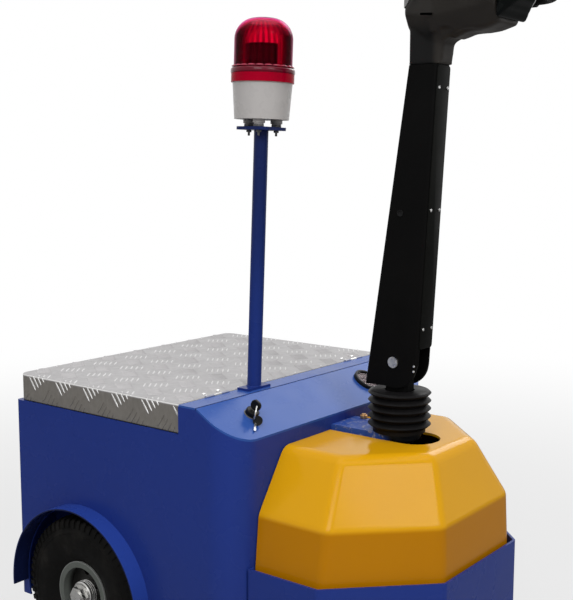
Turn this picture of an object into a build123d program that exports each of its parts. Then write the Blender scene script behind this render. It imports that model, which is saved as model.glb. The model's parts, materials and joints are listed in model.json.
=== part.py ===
from build123d import *
from math import asin, atan2, cos, degrees, hypot, radians, sin, sqrt, tan
import os

os.makedirs("parts", exist_ok=True)

# A pedestrian-controlled electric tow tractor. X is its left, the tiller's end faces -Y, and Z is up from the
# ground. While it is built, Y counts from the lid's hinge line. It is moved to its middle when it is written.

# Battery box, folded from steel sheet
sheet = 3.0
body_half_w = 288.0
body_bottom = 96.0
body_past_arch = 15.0
bulkhead_y = -114.5
front_corner_r = 55.0
rear_corner_r = 6.0
flange_w = 20.0
tray_over_axle = 26.0
well_w = 80.0
well_side_gap = 8.0
well_top_gap = 9.0

# Lid of tread plate, which stands a little inside the box's sides
lid_top = 504.0
lid_sheet = 3.0
lid_inset = 3.0
lid_skirt = 47.0
lid_corner_r = 20.0
lid_seat_gap = 0.4

# Two hinges in the line between ledge and lid
hinge_inset = 92.0
hinge_w = 56.0
hinge_r = 3.0
hinge_pin_r = 1.5
hinge_leaf = 2.0
hinge_leaf_l = 30.0
hinge_gap = 1.2
hinge_side_gap = 0.4
hinge_drop = 0.5

# Console: a level ledge in front of the lid, then a slope down to the bulkhead
ledge_depth = 37.3
slope_drop = 46.5
console_lip = 28.0

# Rear wheels on a fixed axle
tyre_r = 137.0
tyre_w = 86.0
tyre_wall = 9.0
rim_seat_r = 50.8
rim_flange_r = 58.5
rim_sheet = 3.0
rim_web_x = 12.0
rim_windows = 5
rim_window_r = 7.0
rim_window_pcr = 35.0
wheel_inset = 26.0
bead_inset = 12.0
bead_clear = 1.5
bulge_arc_r = 30.0
tread_inset = 6.0
tread_crown = 4.0
tread_flat_inset = 16.0
shoulder_arc_r = 5.0
axle_y = 226.0
axle_r = 12.5
hub_r = 22.0
hub_in = 26.0
hub_out = 34.0
nut_across = 30.0
nut_h = 9.0
axle_past_nut = 3.0
washer_r = 19.0
washer_h = 3.0
axle_bracket_inset = 55.0
axle_bracket_t = 12.0
axle_bracket_l = 60.0
axle_bracket_below = 26.0
axle_collar_r = 17.0

# Mudguards rolled round the wheel arches
mudguard_gap = 20.0
mudguard_w = 31.5
mudguard_rear_deg = -4.5
mudguard_front_deg = 188.0

# Running clearances, measured on the radius
running = 0.05

# Battery blocks, the heaviest load in the box
battery_side_gap = 40.0
battery_edge_r = 4.0
battery_l = 172.0
battery_h = 220.0
battery_gap = 8.0
battery_front_y = 16.0

# Front skirt: a bent steel band round the drive wheel, seen from above as half an octagon
skirt_inset = 32.3
skirt_front_y = -383.8
skirt_chamfer = 138.5
skirt_top = 254.7
skirt_bottom = 96.0
skirt_sheet = 4.0
skirt_bend_r = 10.0

# Motor cover: a moulded hood with one facet for each side of the skirt, listed as section planes
cover_wall = 4.0
cover_gap = 2.0
cover_edge_r = 26.0
cover_top_z = 433.0
cover_top_inset = 87.7
cover_top_front = -329.3
cover_top_chamfer = 104.0
cover_belt_z = 336.0
cover_belt_inset = 23.1
cover_belt_front = -371.5
cover_belt_chamfer = 126.5
cover_rim_inset = 12.7
cover_rim_front = -376.0
cover_rim_chamfer = 134.0
notch_half_w = 42.0
notch_front = -297.0

# Deck inside the skirt, which carries the drive unit, and the bracket that steadies its column
deck_top = 228.0
deck_t = 8.0
steer_y = -225.5
ring_bore_r = 82.0
ring_outer_r = 108.0
ring_h = 12.0
bracket_top = 441.0
bracket_t = 10.0
bracket_half_w = 36.0
bracket_web_h = 60.0
bracket_web_l = 70.0
bracket_web_t = 8.0

# Drive unit, turned by the tiller
turntable_h = 14.0
motor_r = 72.0
motor_h = 165.0
column_r = 24.0
fork_t = 24.0
fork_r = 42.0
fork_gap = 6.0
drive_wheel_r = 100.0
drive_wheel_w = 64.0
drive_tread = 14.0
drive_shaft_r = 15.0
drive_boss_r = 30.0
drive_web_t = 16.0
drive_rim_t = 8.0
drive_tread_edge_r = 4.0
motor_edge_r = 4.0

# Bellows round the column
bellows_r = 52.0
bellows_root_r = 43.0
bellows_cuff_r = 39.0
bellows_top = 510.0
bellows_pleats = 5
bellows_wall = 3.0
bellows_foot = 9.0
bellows_cuff_h = 4.0
bellows_shoulder = 6.0
bellows_seat_gap = 0.3
post_foot = 8.0

# Tiller arm, a box section in two halves that leans forward and tapers to its top
pivot_z = 558.0
arm_half_w = 21.0
cheek_t = 5.0
arm_wall = 4.0
cheek_r = 42.5
arm_top = 1028.0
arm_bottom_rear = 49.0
arm_bottom_front = 44.5
arm_top_rear = -18.0
arm_top_front = -69.5
arm_web_bottom = 583.0
arm_corner_r = 5.0
cheek_blend = 8.0
cheek_chord_in = 2.0
cheek_heel_out = 6.0
cheek_heel_drop = 41.0
fork_depth = 60.0
pivot_pin_r = 8.0
pivot_head_r = 9.0
pivot_head_h = 3.0
post_half_w = 15.6
post_r = 21.0

# Tiller head: a moulded neck and pod, with a grey top cover, a handle loop at each side and the stop
# button across its nose. Its Y counts from the steering axis and its Z from the top of the arm.
head_neck_h = 66.0
head_neck_front = -74.0
head_edge_r = 9.0
head_half_w = 47.0
head_nose = -176.0
head_heel = -13.0
head_heel_low_w = 14.0
head_heel_w = 27.0
head_heel_low = 54.0
head_heel_knee = 76.0
head_heel_drop = 12.0
head_waist_w = 46.0
head_waist_low = 22.0
head_waist_knee = 66.0
head_nose_low_w = 32.0
head_nose_knee = 82.0
head_nose_drop = 4.0
head_top_h = 130.0
seam_below_top = 26.0
seam_drop = 20.0
seam_rear_y = -12.0
seam_gap = 0.5
button_front = -207.0
button_low_h = 57.0
button_top_h = 124.0
button_half_w = 46.0
button_arc_r = 26.0
button_gap = 0.5
handle_r = 13.0
handle_half_w = 168.0
handle_below_top = 16.0
handle_root_x = 30.0
handle_root_rear = -38.0
handle_root_front = -154.0
handle_rear = -30.0
handle_front = -190.0
handle_corner_r = 36.0
grip_r = 16.0
grip_end_gap = 2.0
paddle_r = 21.0
paddle_w = 9.0
paddle_gap = 2.0
paddle_y = -96.0
paddle_shaft_r = 5.0

# Beacon on its pole
pole_x = -119.5
pole_y = -14.5
pole_r = 11.8
pole_top = 930.0
pole_lean_deg = 1.7
pole_lean_towards = (0.613, -0.790)
pole_foot_l = 57.0
pole_foot_w = 25.0
pole_foot_t = 4.0
beacon_plate_w = 64.0
beacon_plate_t = 5.0
beacon_plate_corner_r = 12.0
beacon_feet = 3
beacon_feet_h = 12.0
beacon_feet_r = 5.0
beacon_feet_pcr = 26.0
beacon_base_h = 58.0
beacon_base_low_r = 44.4
beacon_base_top_r = 48.5
beacon_base_wall = 3.0
beacon_ring_r = 51.0
beacon_ring_h = 19.0
lens_r = 47.3
lens_h = 83.0
lens_shoulder_r = 34.0
lens_wall = 2.5
reflector_r = 30.0
reflector_h = 42.0
reflector_wall = 3.0
carrier_inset = 6.0
carrier_t = 6.0
carrier_post_r = 10.0
bulb_r = 9.0
bulb_h = 38.0
bulb_end_r = 8.0

# Key switch and gauge in the slope
key_inset = 90.0
key_down = 42.0
key_bezel_r = 11.0
key_bezel_h = 9.0
key_blade_h = 7.0
key_bow_w = 22.0
key_bow_h = 18.0
key_t = 2.4
key_blade_w = 7.0
key_bow_grip = 2.0
key_bow_r = 7.0
key_bezel_edge_r = 1.5
gauge_x = 131.0
gauge_down = 44.0
gauge_r = 26.0
gauge_bezel_h = 6.0
gauge_glass_r = 21.5
gauge_body_r = 22.5
gauge_body_h = 30.0
gauge_glass_seat = 2.0
gauge_glass_below = 0.5

# Tow jaw on the rear panel, with its pin parked beside it
hitch_z = 262.0
hitch_plate_w = 130.0
hitch_plate_h = 110.0
hitch_plate_t = 8.0
hitch_ear_w = 60.0
hitch_ear_t = 10.0
hitch_ear_reach = 62.0
hitch_gap = 44.0
tow_pin_gap = 0.3
tow_pin_above = 2.0
hitch_bore_r = 10.5
tow_pin_r = 10.0
tow_pin_l = 108.0
tow_pin_grip_r = 16.0
tow_pin_grip_t = 8.0
pin_keep_x = 48.0
pin_keep_w = 34.0
pin_keep_reach = 34.0

# Values worked out from the sizes above
axle_z = tyre_r
mudguard_r = tyre_r + mudguard_gap
body_rear = axle_y + mudguard_r + body_past_arch
well_front = axle_y - mudguard_r - well_side_gap
well_top = axle_z + mudguard_r + well_top_gap
tray_z = axle_z + tray_over_axle
wheel_x = body_half_w - wheel_inset
hinge_x = body_half_w - hinge_inset
key_x = -(body_half_w - key_inset)
skirt_half_w = body_half_w - skirt_inset
cover_rim_half_w = skirt_half_w - cover_rim_inset
cover_belt_half_w = skirt_half_w - cover_belt_inset
cover_top_half_w = skirt_half_w - cover_top_inset
inner_half_w = body_half_w - sheet
inner_rear = body_rear - sheet
inner_front = bulkhead_y + sheet
lid_half_w = body_half_w - lid_inset
lid_rear = body_rear - lid_inset
lid_bottom = lid_top - lid_skirt
box_rim = lid_bottom - lid_seat_gap
slope_end_z = lid_top - slope_drop
slope_run = -bulkhead_y - ledge_depth
slope_deg = degrees(asin(slope_drop / hypot(slope_drop, slope_run)))
slope_len = hypot(slope_drop, slope_run)
hinge_z = lid_top - hinge_drop
well_x = inner_half_w - well_w
axle_bracket_x = well_x - axle_bracket_inset
battery_w = 2 * (well_x - battery_side_gap)
bracket_face_z = bracket_top - bracket_t
motor_z = deck_top + turntable_h
motor_top = motor_z + motor_h
turntable_bottom = deck_top - deck_t
deck_bore_r = ring_bore_r
skirt_flange = skirt_half_w - cover_rim_half_w - cover_gap

nodes = {}


def keep(name, shape):
    nodes[name] = shape


def block(x, y, z):
    """A box between two corners on each axis, given as pairs."""
    size = [abs(b - a) for a, b in (x, y, z)]
    middle = [(a + b) / 2 for a, b in (x, y, z)]
    return Pos(*middle) * Box(*size)


def rod_x(r, x0, x1, y, z):
    return Pos((x0 + x1) / 2, y, z) * Rot(0, 90, 0) * Cylinder(r, abs(x1 - x0))


def rod_y(r, y0, y1, x, z):
    return Pos(x, (y0 + y1) / 2, z) * Rot(90, 0, 0) * Cylinder(r, abs(y1 - y0))


def rod_z(r, z0, z1, x=0.0, y=0.0):
    return Pos(x, y, (z0 + z1) / 2) * Cylinder(r, z1 - z0)


def outline(points, radius=0.0, rounded=None):
    """A closed flat face through the points, with all corners or the numbered ones rounded."""
    face = make_face(Polyline(*points, close=True))
    if radius > 0:
        spots = points if rounded is None else [points[i] for i in rounded]
        corners = [min(face.vertices(), key=lambda v: hypot(v.X - p[0], v.Y - p[1])) for p in spots]
        face = fillet(corners, radius)
    return face


def prism_z(face, z0, z1):
    return extrude(Pos(0, 0, z0) * face, amount=z1 - z0)


def prism_x(face, x0, x1):
    """The face's first axis becomes Y and its second Z."""
    return extrude(Plane.YZ.offset(x0) * face, amount=x1 - x0)


def both_sides(shape):
    return shape + mirror(shape, Plane.YZ)


def on_slope(x, down):
    """The place on the slope's outer face, with the local Z square to it and the local Y up the slope."""
    y = -ledge_depth - down * slope_run / slope_len
    z = lid_top - down * slope_drop / slope_len
    return Pos(x, y, z) * Rot(slope_deg, 0, 0)


# The box's walls are one ring of sheet in plan, split where the real panels meet
def plan(inset):
    w = body_half_w - inset
    front = bulkhead_y + inset
    rear = body_rear - inset
    corners = ((-w, rear), (w, rear), (w, front), (-w, front))
    face = outline(corners, front_corner_r - inset, (2, 3))
    spots = [v for v in face.vertices() if v.Y > rear - 0.01]
    return fillet(spots, max(rear_corner_r - inset, 1.0))


def console_outline(drop):
    """Side view of all that lies under the console's sheet, drop below its outer face."""
    slide = drop * tan(radians(slope_deg) / 2)
    low = slope_end_z - drop / cos(radians(slope_deg))
    return outline((
        (0.0, body_bottom - 1.0),
        (0.0, lid_top - drop),
        (-ledge_depth + slide, lid_top - drop),
        (bulkhead_y, low),
        (bulkhead_y, body_bottom - 1.0),
    ))


wall_ring = prism_z(plan(0) - plan(sheet), body_bottom, lid_top)
under_console = prism_x(console_outline(sheet), -body_half_w, body_half_w)
under_lid = block((-body_half_w, body_half_w), (0.0, body_rear), (body_bottom, box_rim))
walls = wall_ring & (under_console + under_lid)
rim_flange = prism_z(plan(sheet) - plan(sheet + flange_w), box_rim - sheet, box_rim)
walls = walls + (rim_flange & block((-body_half_w, body_half_w), (0.0, body_rear), (body_bottom, box_rim)))

side_x = body_half_w - front_corner_r
side_cut = {
    "side_panel_right": block((-body_half_w - 1, -side_x), (bulkhead_y - 1, body_rear + 1), (0, lid_top + 1)),
    "side_panel_left": block((side_x, body_half_w + 1), (bulkhead_y - 1, body_rear + 1), (0, lid_top + 1)),
    "front_bulkhead": block((-side_x, side_x), (bulkhead_y - 1, inner_front + 1), (0, lid_top + 1)),
    "rear_panel": block((-side_x, side_x), (inner_rear - flange_w - 1, body_rear + 1), (0, lid_top + 1)),
}
arch_r = mudguard_r - sheet
arch = rod_x(arch_r, -body_half_w - 1, -inner_half_w + 1, axle_y, axle_z)
for name, region in side_cut.items():
    panel = walls & region
    if name.startswith("side"):
        panel = panel - both_sides(arch)
    keep(name, panel)

# Console sheet, bent once, with a lip turned down behind its ledge
console_side = console_outline(0.0) - console_outline(sheet)
console = prism_x(console_side, -body_half_w, body_half_w) & prism_z(plan(0), body_bottom, lid_top + 1)
console = console & block((-body_half_w, body_half_w), (bulkhead_y, -hinge_gap), (slope_end_z - 9 * sheet, lid_top))
lip = block(
    (-inner_half_w, inner_half_w),
    (-hinge_gap - sheet, -hinge_gap),
    (lid_top - console_lip, lid_top - sheet),
)
console = console + lip
knuckle_room = hinge_r + hinge_side_gap
leaf_top = lid_top - sheet
for side in (-1, 1):
    half = hinge_w / 2 + hinge_side_gap
    ends = (side * hinge_x - half, side * hinge_x + half)
    console = console - block(ends, (-knuckle_room, 0.0), (hinge_z - knuckle_room, lid_top + 1))
    lip_slot = (leaf_top - hinge_leaf - hinge_side_gap, leaf_top)
    console = console - block(ends, (-hinge_gap - sheet, 0.0), lip_slot)
keep("console_panel", console)

# Tray that the batteries stand on, and a well round each rear wheel inside the box
well_outer = block((well_x, inner_half_w), (well_front, inner_rear), (body_bottom, well_top))
well_room = (well_front + sheet, inner_rear)
well_inner = block((well_x + sheet, inner_half_w), well_room, (body_bottom, well_top - sheet))
well_left = (well_outer - well_inner) & prism_z(plan(sheet), body_bottom, well_top)
well_left = well_left - rod_x(axle_r + 2, well_x - 1, well_x + sheet + 1, axle_y, axle_z)
keep("wheel_well_left", well_left)
keep("wheel_well_right", mirror(well_left, Plane.YZ))
tray = prism_z(plan(sheet), tray_z - sheet, tray_z) - both_sides(well_outer)
keep("battery_tray", tray)

# Batteries side by side on the tray
battery = None
for row in range(2):
    y = battery_front_y + row * (battery_l + battery_gap)
    one = block((-battery_w / 2, battery_w / 2), (y, y + battery_l), (tray_z, tray_z + battery_h))
    one = fillet(one.edges().filter_by(Axis.Z), battery_edge_r)
    battery = one if battery is None else battery + one
keep("batteries", battery)

# Rear axle in two plates under the tray
bracket = block(
    (axle_bracket_x - axle_bracket_t / 2, axle_bracket_x + axle_bracket_t / 2),
    (axle_y - axle_bracket_l / 2, axle_y + axle_bracket_l / 2),
    (axle_z - axle_bracket_below, tray_z - sheet),
)
bracket = bracket - rod_x(axle_r + running, 0, body_half_w, axle_y, axle_z)
keep("axle_brackets", both_sides(bracket))
axle_end = wheel_x + hub_out + washer_h + nut_h + axle_past_nut
axle = rod_x(axle_r, -axle_end, axle_end, axle_y, axle_z)
collar_x = wheel_x - hub_in - running
collar = rod_x(axle_collar_r, well_x + sheet, collar_x, axle_y, axle_z)
keep("rear_axle", axle + both_sides(collar))

# Nut and washer at each end of the axle
nut_x = wheel_x + hub_out + running
washer = rod_x(washer_r, nut_x, nut_x + washer_h, axle_y, axle_z)
nut_face = RegularPolygon(nut_across / 2, 6, major_radius=False)
nut = Pos(0, axle_y, axle_z) * prism_x(nut_face, nut_x + washer_h, nut_x + washer_h + nut_h)
nuts = (washer + nut) - rod_x(axle_r + running, 0, axle_end + 1, axle_y, axle_z)
keep("axle_nuts", both_sides(nuts))


# Rear tyre and rim, turned about the axle and drawn for the left side, x out and r up
def about_axle(face, x):
    """Turns a face drawn as x along the axle and y as radius."""
    solid = revolve(Plane.XY * face, axis=Axis.X)
    return Pos(x, axle_y, axle_z) * solid


half_tyre = tyre_w / 2
bead_half = half_tyre - bead_inset
bulge_r = (tyre_r + rim_seat_r) / 2
tread_half = half_tyre - tread_inset
crown_half = tread_half - tread_flat_inset
shoulder_r = tyre_r - tread_crown
lip_r = rim_flange_r + bead_clear
tyre_face = outline((
    (-bead_half, rim_seat_r),
    (-bead_half, lip_r),
    (-half_tyre, bulge_r),
    (-tread_half, shoulder_r),
    (-crown_half, tyre_r),
    (crown_half, tyre_r),
    (tread_half, shoulder_r),
    (half_tyre, bulge_r),
    (bead_half, lip_r),
    (bead_half, rim_seat_r),
    (bead_half - tyre_wall, rim_seat_r),
    (half_tyre - tyre_wall, bulge_r),
    (tread_half - tyre_wall, shoulder_r - tyre_wall),
    (-tread_half + tyre_wall, shoulder_r - tyre_wall),
    (-half_tyre + tyre_wall, bulge_r),
    (-bead_half + tyre_wall, rim_seat_r),
))
bulges = [v for v in tyre_face.vertices() if abs(v.Y - bulge_r) < 0.1 and abs(v.X) > half_tyre - 0.1]
tyre_face = fillet(bulges, bulge_arc_r)
shoulders = [v for v in tyre_face.vertices() if abs(v.Y - shoulder_r) < 0.1]
tyre_face = fillet(shoulders, shoulder_arc_r)
tyre = about_axle(tyre_face, wheel_x)
keep("tyre_left", tyre)
keep("tyre_right", mirror(tyre, Plane.YZ))

rim_half = bead_half + rim_sheet
rim_in_r = rim_seat_r - rim_sheet
barrel = outline((
    (-rim_half, rim_in_r),
    (-rim_half, rim_flange_r),
    (-bead_half, rim_flange_r),
    (-bead_half, rim_seat_r),
    (bead_half, rim_seat_r),
    (bead_half, rim_flange_r),
    (rim_half, rim_flange_r),
    (rim_half, rim_in_r),
))
web = outline((
    (rim_web_x - rim_sheet, hub_r),
    (rim_web_x, hub_r),
    (rim_web_x, rim_in_r),
    (rim_web_x - rim_sheet, rim_in_r),
))
hub = outline((
    (-hub_in, axle_r + running),
    (hub_out, axle_r + running),
    (hub_out, hub_r),
    (-hub_in, hub_r),
))
rim = about_axle(barrel + web + hub, wheel_x)
for i in range(rim_windows):
    turn = 360.0 * i / rim_windows
    y = axle_y + rim_window_pcr * cos(radians(turn))
    z = axle_z + rim_window_pcr * sin(radians(turn))
    rim = rim - rod_x(rim_window_r, wheel_x, wheel_x + 2 * rim_web_x, y, z)
keep("rim_left", rim)
keep("rim_right", mirror(rim, Plane.YZ))

# Mudguard strip, a band of sheet round the arch
band_face = Circle(mudguard_r) - Circle(arch_r)
wedge = outline((
    (0.0, 0.0),
    (2 * mudguard_r * cos(radians(mudguard_rear_deg)), 2 * mudguard_r * sin(radians(mudguard_rear_deg))),
    (2 * mudguard_r, 2 * mudguard_r),
    (-2 * mudguard_r, 2 * mudguard_r),
    (2 * mudguard_r * cos(radians(mudguard_front_deg)), 2 * mudguard_r * sin(radians(mudguard_front_deg))),
))
band = Pos(0, axle_y, axle_z) * prism_x(band_face & wedge, body_half_w, body_half_w + mudguard_w)
keep("mudguard_left", band)
keep("mudguard_right", mirror(band, Plane.YZ))


# Lid: top sheet with a skirt on three sides, open at its hinge edge
def lid_plan(inset, front):
    w = lid_half_w - inset
    corners = ((-w, front), (w, front), (w, lid_rear - inset), (-w, lid_rear - inset))
    return outline(corners, lid_corner_r - inset, (2, 3))


lid = prism_z(lid_plan(0.0, hinge_gap), lid_bottom, lid_top)
lid = fillet([e for e in lid.edges() if e.center().Z > lid_top - 0.1 and e.center().Y > hinge_gap + 1], 2.0)
lid = lid - prism_z(lid_plan(lid_sheet, hinge_gap - 1), lid_bottom - 1, lid_top - lid_sheet)
for side in (-1, 1):
    half = hinge_w / 2 + hinge_side_gap
    ends = (side * hinge_x - half, side * hinge_x + half)
    lid = lid - block(ends, (0.0, knuckle_room), (hinge_z - knuckle_room, lid_top + 1))
keep("lid", lid)

# Hinges: two outer knuckles and the pin on the fixed leaf, the middle knuckle on the lid's leaf
knuckle = (hinge_w - 4 * hinge_side_gap) / 3
fixed = None
moving = None
for side in (-1, 1):
    x = side * hinge_x
    leaf = block((x - hinge_w / 2, x + hinge_w / 2), (-hinge_leaf_l, -hinge_gap), (leaf_top - hinge_leaf, leaf_top))
    middle = knuckle / 2 + hinge_side_gap
    leaf = leaf - rod_x(knuckle_room, x - middle, x + middle, 0.0, hinge_z)
    pin = rod_x(hinge_pin_r, x - hinge_w / 2, x + hinge_w / 2, 0.0, hinge_z)
    fixed = leaf + pin if fixed is None else fixed + leaf + pin
    for end in (-1, 1):
        a = x + end * (knuckle / 2 + hinge_side_gap)
        b = x + end * hinge_w / 2
        fixed = fixed + rod_x(hinge_r, min(a, b), max(a, b), 0.0, hinge_z)
        fixed = fixed + block((min(a, b), max(a, b)), (-hinge_r, 0.0), (leaf_top - hinge_leaf, hinge_z))
    leaf = block(
        (x - knuckle / 2, x + knuckle / 2),
        (0.0, hinge_leaf_l),
        (lid_top - lid_sheet - hinge_leaf, lid_top - lid_sheet),
    )
    leaf = leaf + block((x - hinge_w / 2, x + hinge_w / 2), (2 * hinge_r, hinge_leaf_l),
                        (lid_top - lid_sheet - hinge_leaf, lid_top - lid_sheet))
    leaf = leaf + rod_x(hinge_r, x - knuckle / 2, x + knuckle / 2, 0.0, hinge_z)
    leaf = leaf + block((x - knuckle / 2, x + knuckle / 2), (0.0, hinge_r), (leaf_top - hinge_leaf, hinge_z))
    leaf = leaf - rod_x(hinge_pin_r + running, x - hinge_w, x + hinge_w, 0.0, hinge_z)
    moving = leaf if moving is None else moving + leaf
keep("console_hinge_leaves", fixed)
keep("lid_hinge_leaves", moving)


# Front skirt: half an octagon in plan
def half_octagon(half_w, front, chamfer, rear, grow=0.0):
    """Corners in plan, from the right rear round the front to the left rear. A 45 degree side moves by
    the same distance as the others when the outline grows."""
    slip = grow * tan(radians(22.5))
    w = half_w + grow
    f = front - grow
    right = ((-w, rear), (-w, front + chamfer - slip), (-half_w + chamfer - slip, f))
    left = tuple((-x, y) for x, y in reversed(right))
    return right + left


def skirt_plan(grow, radius):
    points = half_octagon(skirt_half_w, skirt_front_y, skirt_chamfer, bulkhead_y, grow)
    return outline(points, radius, (1, 2, 3, 4))


skirt_face = skirt_plan(0.0, skirt_bend_r) - skirt_plan(-skirt_sheet, skirt_bend_r - skirt_sheet)
skirt = prism_z(skirt_face, skirt_bottom, skirt_top)
flange = block(
    (skirt_half_w - skirt_flange, skirt_half_w),
    (bulkhead_y - skirt_sheet, bulkhead_y),
    (skirt_bottom, skirt_top),
)
skirt = skirt + both_sides(flange)
keep("front_skirt", skirt)

# Deck plate welded inside the skirt, with the ring that guides the drive unit
deck = prism_z(skirt_plan(-skirt_sheet, skirt_bend_r - skirt_sheet), deck_top - deck_t, deck_top)
deck = deck - both_sides(flange) - rod_z(deck_bore_r, 0, lid_top, 0, steer_y)
keep("drive_deck", deck)
ring = rod_z(ring_outer_r, deck_top, deck_top + ring_h, 0, steer_y)
ring = ring - rod_z(ring_bore_r, 0, lid_top, 0, steer_y)
keep("steering_ring", ring)


# Motor cover: two tapered bands, thinned from inside by the wall
def cover_solid(inset, edge_r):
    low = deck_top if inset == 0 else deck_top - 1
    rear = bulkhead_y - cover_gap if inset == 0 else bulkhead_y
    fit = -inset
    rim_pts = half_octagon(cover_rim_half_w, cover_rim_front, cover_rim_chamfer, rear, fit)
    belt_pts = half_octagon(cover_belt_half_w, cover_belt_front, cover_belt_chamfer, rear, fit)
    top_pts = half_octagon(cover_top_half_w, cover_top_front, cover_top_chamfer, rear, fit)
    belt = Pos(0, 0, cover_belt_z) * outline(belt_pts)
    lower = loft([Pos(0, 0, low) * outline(rim_pts), belt], ruled=True)
    upper = loft([belt, Pos(0, 0, cover_top_z - inset) * outline(top_pts)], ruled=True)
    hood = lower + upper
    edges = [e for e in hood.edges() if e.center().Z > low + 1 and e.center().Y < rear - 1]
    return fillet(edges, edge_r)


cover = cover_solid(0.0, cover_edge_r) - cover_solid(cover_wall, cover_edge_r - cover_wall)
slot = block((-notch_half_w, notch_half_w), (notch_front + notch_half_w, bulkhead_y), (cover_belt_z, lid_top))
slot = slot + rod_z(notch_half_w, cover_belt_z, lid_top, 0, notch_front + notch_half_w)
keep("motor_cover", cover - slot)

# Bracket from the bulkhead that steadies the steering column
tongue = block((-bracket_half_w, bracket_half_w), (steer_y, bulkhead_y), (bracket_face_z, bracket_top))
tongue = tongue + rod_z(bracket_half_w, bracket_face_z, bracket_top, 0, steer_y)
rib_face = outline((
    (bulkhead_y, bracket_face_z),
    (bulkhead_y, bracket_face_z - bracket_web_h),
    (bulkhead_y - bracket_web_l, bracket_face_z),
))
rib = prism_x(rib_face, bracket_half_w - bracket_web_t, bracket_half_w)
tongue = tongue + both_sides(rib) - rod_z(column_r + running, 0, lid_top, 0, steer_y)
keep("column_bracket", tongue)

# Drive unit: turntable and gearbox leg, motor, and column with the tiller's post
turntable = rod_z(ring_bore_r - running, deck_top - deck_t, motor_z, 0, steer_y)
leg_in = drive_wheel_w / 2 + fork_gap
leg = block((leg_in, leg_in + fork_t), (steer_y - fork_r, steer_y + fork_r), (drive_wheel_r, turntable_bottom))
leg = leg + rod_x(fork_r, leg_in, leg_in + fork_t, steer_y, drive_wheel_r)
leg = leg - rod_x(drive_shaft_r + running, 0, leg_in + fork_t + 1, steer_y, drive_wheel_r)
keep("drive_gearbox", turntable + leg)
motor = rod_z(motor_r, motor_z, motor_top, 0, steer_y)
keep("drive_motor", fillet(motor.edges().filter_by(GeomType.CIRCLE), motor_edge_r))
column = rod_z(column_r, motor_top, bellows_top - bellows_cuff_h, 0, steer_y)
post_bottom = bellows_top - bellows_cuff_h - post_foot
post = block((-post_half_w, post_half_w), (steer_y - post_r, steer_y + post_r), (post_bottom, pivot_z))
post = post & rod_z(column_r - 1, 0, lid_top + pivot_z, 0, steer_y)
post = post + rod_x(post_r, -post_half_w, post_half_w, steer_y, pivot_z)
post = post - rod_x(pivot_pin_r + running, -arm_half_w, arm_half_w, steer_y, pivot_z)
keep("steering_column", column + post)

# Bellows: a pleated rubber sleeve on the bracket, open through its middle
pitch = (bellows_top - bellows_cuff_h - bracket_top - bellows_foot) / bellows_pleats
sleeve_out = [(bellows_root_r, bracket_top + bellows_seat_gap)]
sleeve_out.append((bellows_root_r, bracket_top + bellows_foot))
for i in range(bellows_pleats):
    z = bracket_top + bellows_foot + i * pitch
    sleeve_out.append((bellows_r, z + pitch / 2))
    if i < bellows_pleats - 1:
        sleeve_out.append((bellows_root_r, z + pitch))
sleeve_out.append((bellows_cuff_r, bellows_top - bellows_cuff_h))
sleeve_out.append((bellows_cuff_r, bellows_top))
sleeve_neck = bellows_top - bellows_cuff_h - bellows_wall
sleeve_in = [(column_r + running, bellows_top)]
sleeve_in.append((column_r + running, sleeve_neck))
sleeve_in.append((bellows_root_r - bellows_wall, sleeve_neck - bellows_shoulder))
sleeve_in.append((bellows_root_r - bellows_wall, bracket_top + bellows_seat_gap))
sleeve = make_face(Polyline(*[(r, 0, z) for r, z in sleeve_out + sleeve_in], close=True))
keep("bellows", Pos(0, steer_y, 0) * revolve(sleeve, axis=Axis.Z))

# Drive wheel: rubber tread on a cast wheel, with its shaft
tread_ring = rod_x(drive_wheel_r, -drive_wheel_w / 2, drive_wheel_w / 2, steer_y, drive_wheel_r)
tread_ring = fillet(tread_ring.edges().filter_by(GeomType.CIRCLE), drive_tread_edge_r)
seat_r = drive_wheel_r - drive_tread
tread_ring = tread_ring - rod_x(seat_r, -drive_wheel_w, drive_wheel_w, steer_y, drive_wheel_r)
keep("drive_tread", tread_ring)
cast = rod_x(seat_r, -drive_wheel_w / 2 + 1, drive_wheel_w / 2 - 1, steer_y, drive_wheel_r)
dish = rod_x(seat_r - drive_rim_t, drive_web_t / 2, drive_wheel_w, steer_y, drive_wheel_r)
cast = cast - both_sides(dish)
cast = cast + rod_x(drive_boss_r, -drive_wheel_w / 2, drive_wheel_w / 2, steer_y, drive_wheel_r)
cast = cast + rod_x(drive_shaft_r, 0, leg_in + fork_t + 2, steer_y, drive_wheel_r)
keep("drive_wheel_hub", cast)

# Tiller arm in side view, counted from the steering axis
front_slope = (arm_top_front + arm_bottom_front) / (arm_top - pivot_z)
arm_side = outline((
    (arm_bottom_rear, pivot_z),
    (arm_top_rear, arm_top),
    (arm_top_front, arm_top),
    (-arm_bottom_front, pivot_z),
    (-sqrt(cheek_r ** 2 - cheek_blend ** 2), pivot_z - cheek_blend),
    (0.0, pivot_z - cheek_r + cheek_chord_in),
    (arm_bottom_rear + cheek_heel_out, pivot_z - cheek_heel_drop),
))
arm_side = arm_side + Pos(0, pivot_z) * Circle(cheek_r)
arm_solid = Pos(0, steer_y, 0) * prism_x(arm_side, -arm_half_w, arm_half_w)
long_edges = [e for e in arm_solid.edges() if e.length > 300]
arm_solid = fillet(long_edges, arm_corner_r)
arm_hollow = outline((
    (arm_bottom_rear - arm_wall, pivot_z),
    (arm_top_rear - arm_wall, arm_top + 1),
    (arm_top_front + arm_wall, arm_top + 1),
    (-arm_bottom_front + arm_wall + front_slope * (arm_web_bottom - pivot_z), arm_web_bottom),
    (-fork_depth, arm_web_bottom),
    (-fork_depth, pivot_z - fork_depth),
    (arm_bottom_rear - arm_wall, pivot_z - fork_depth),
))
hollow = Pos(0, steer_y, 0) * prism_x(arm_hollow, -arm_half_w + cheek_t, arm_half_w - cheek_t)
arm_solid = arm_solid - hollow
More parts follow.
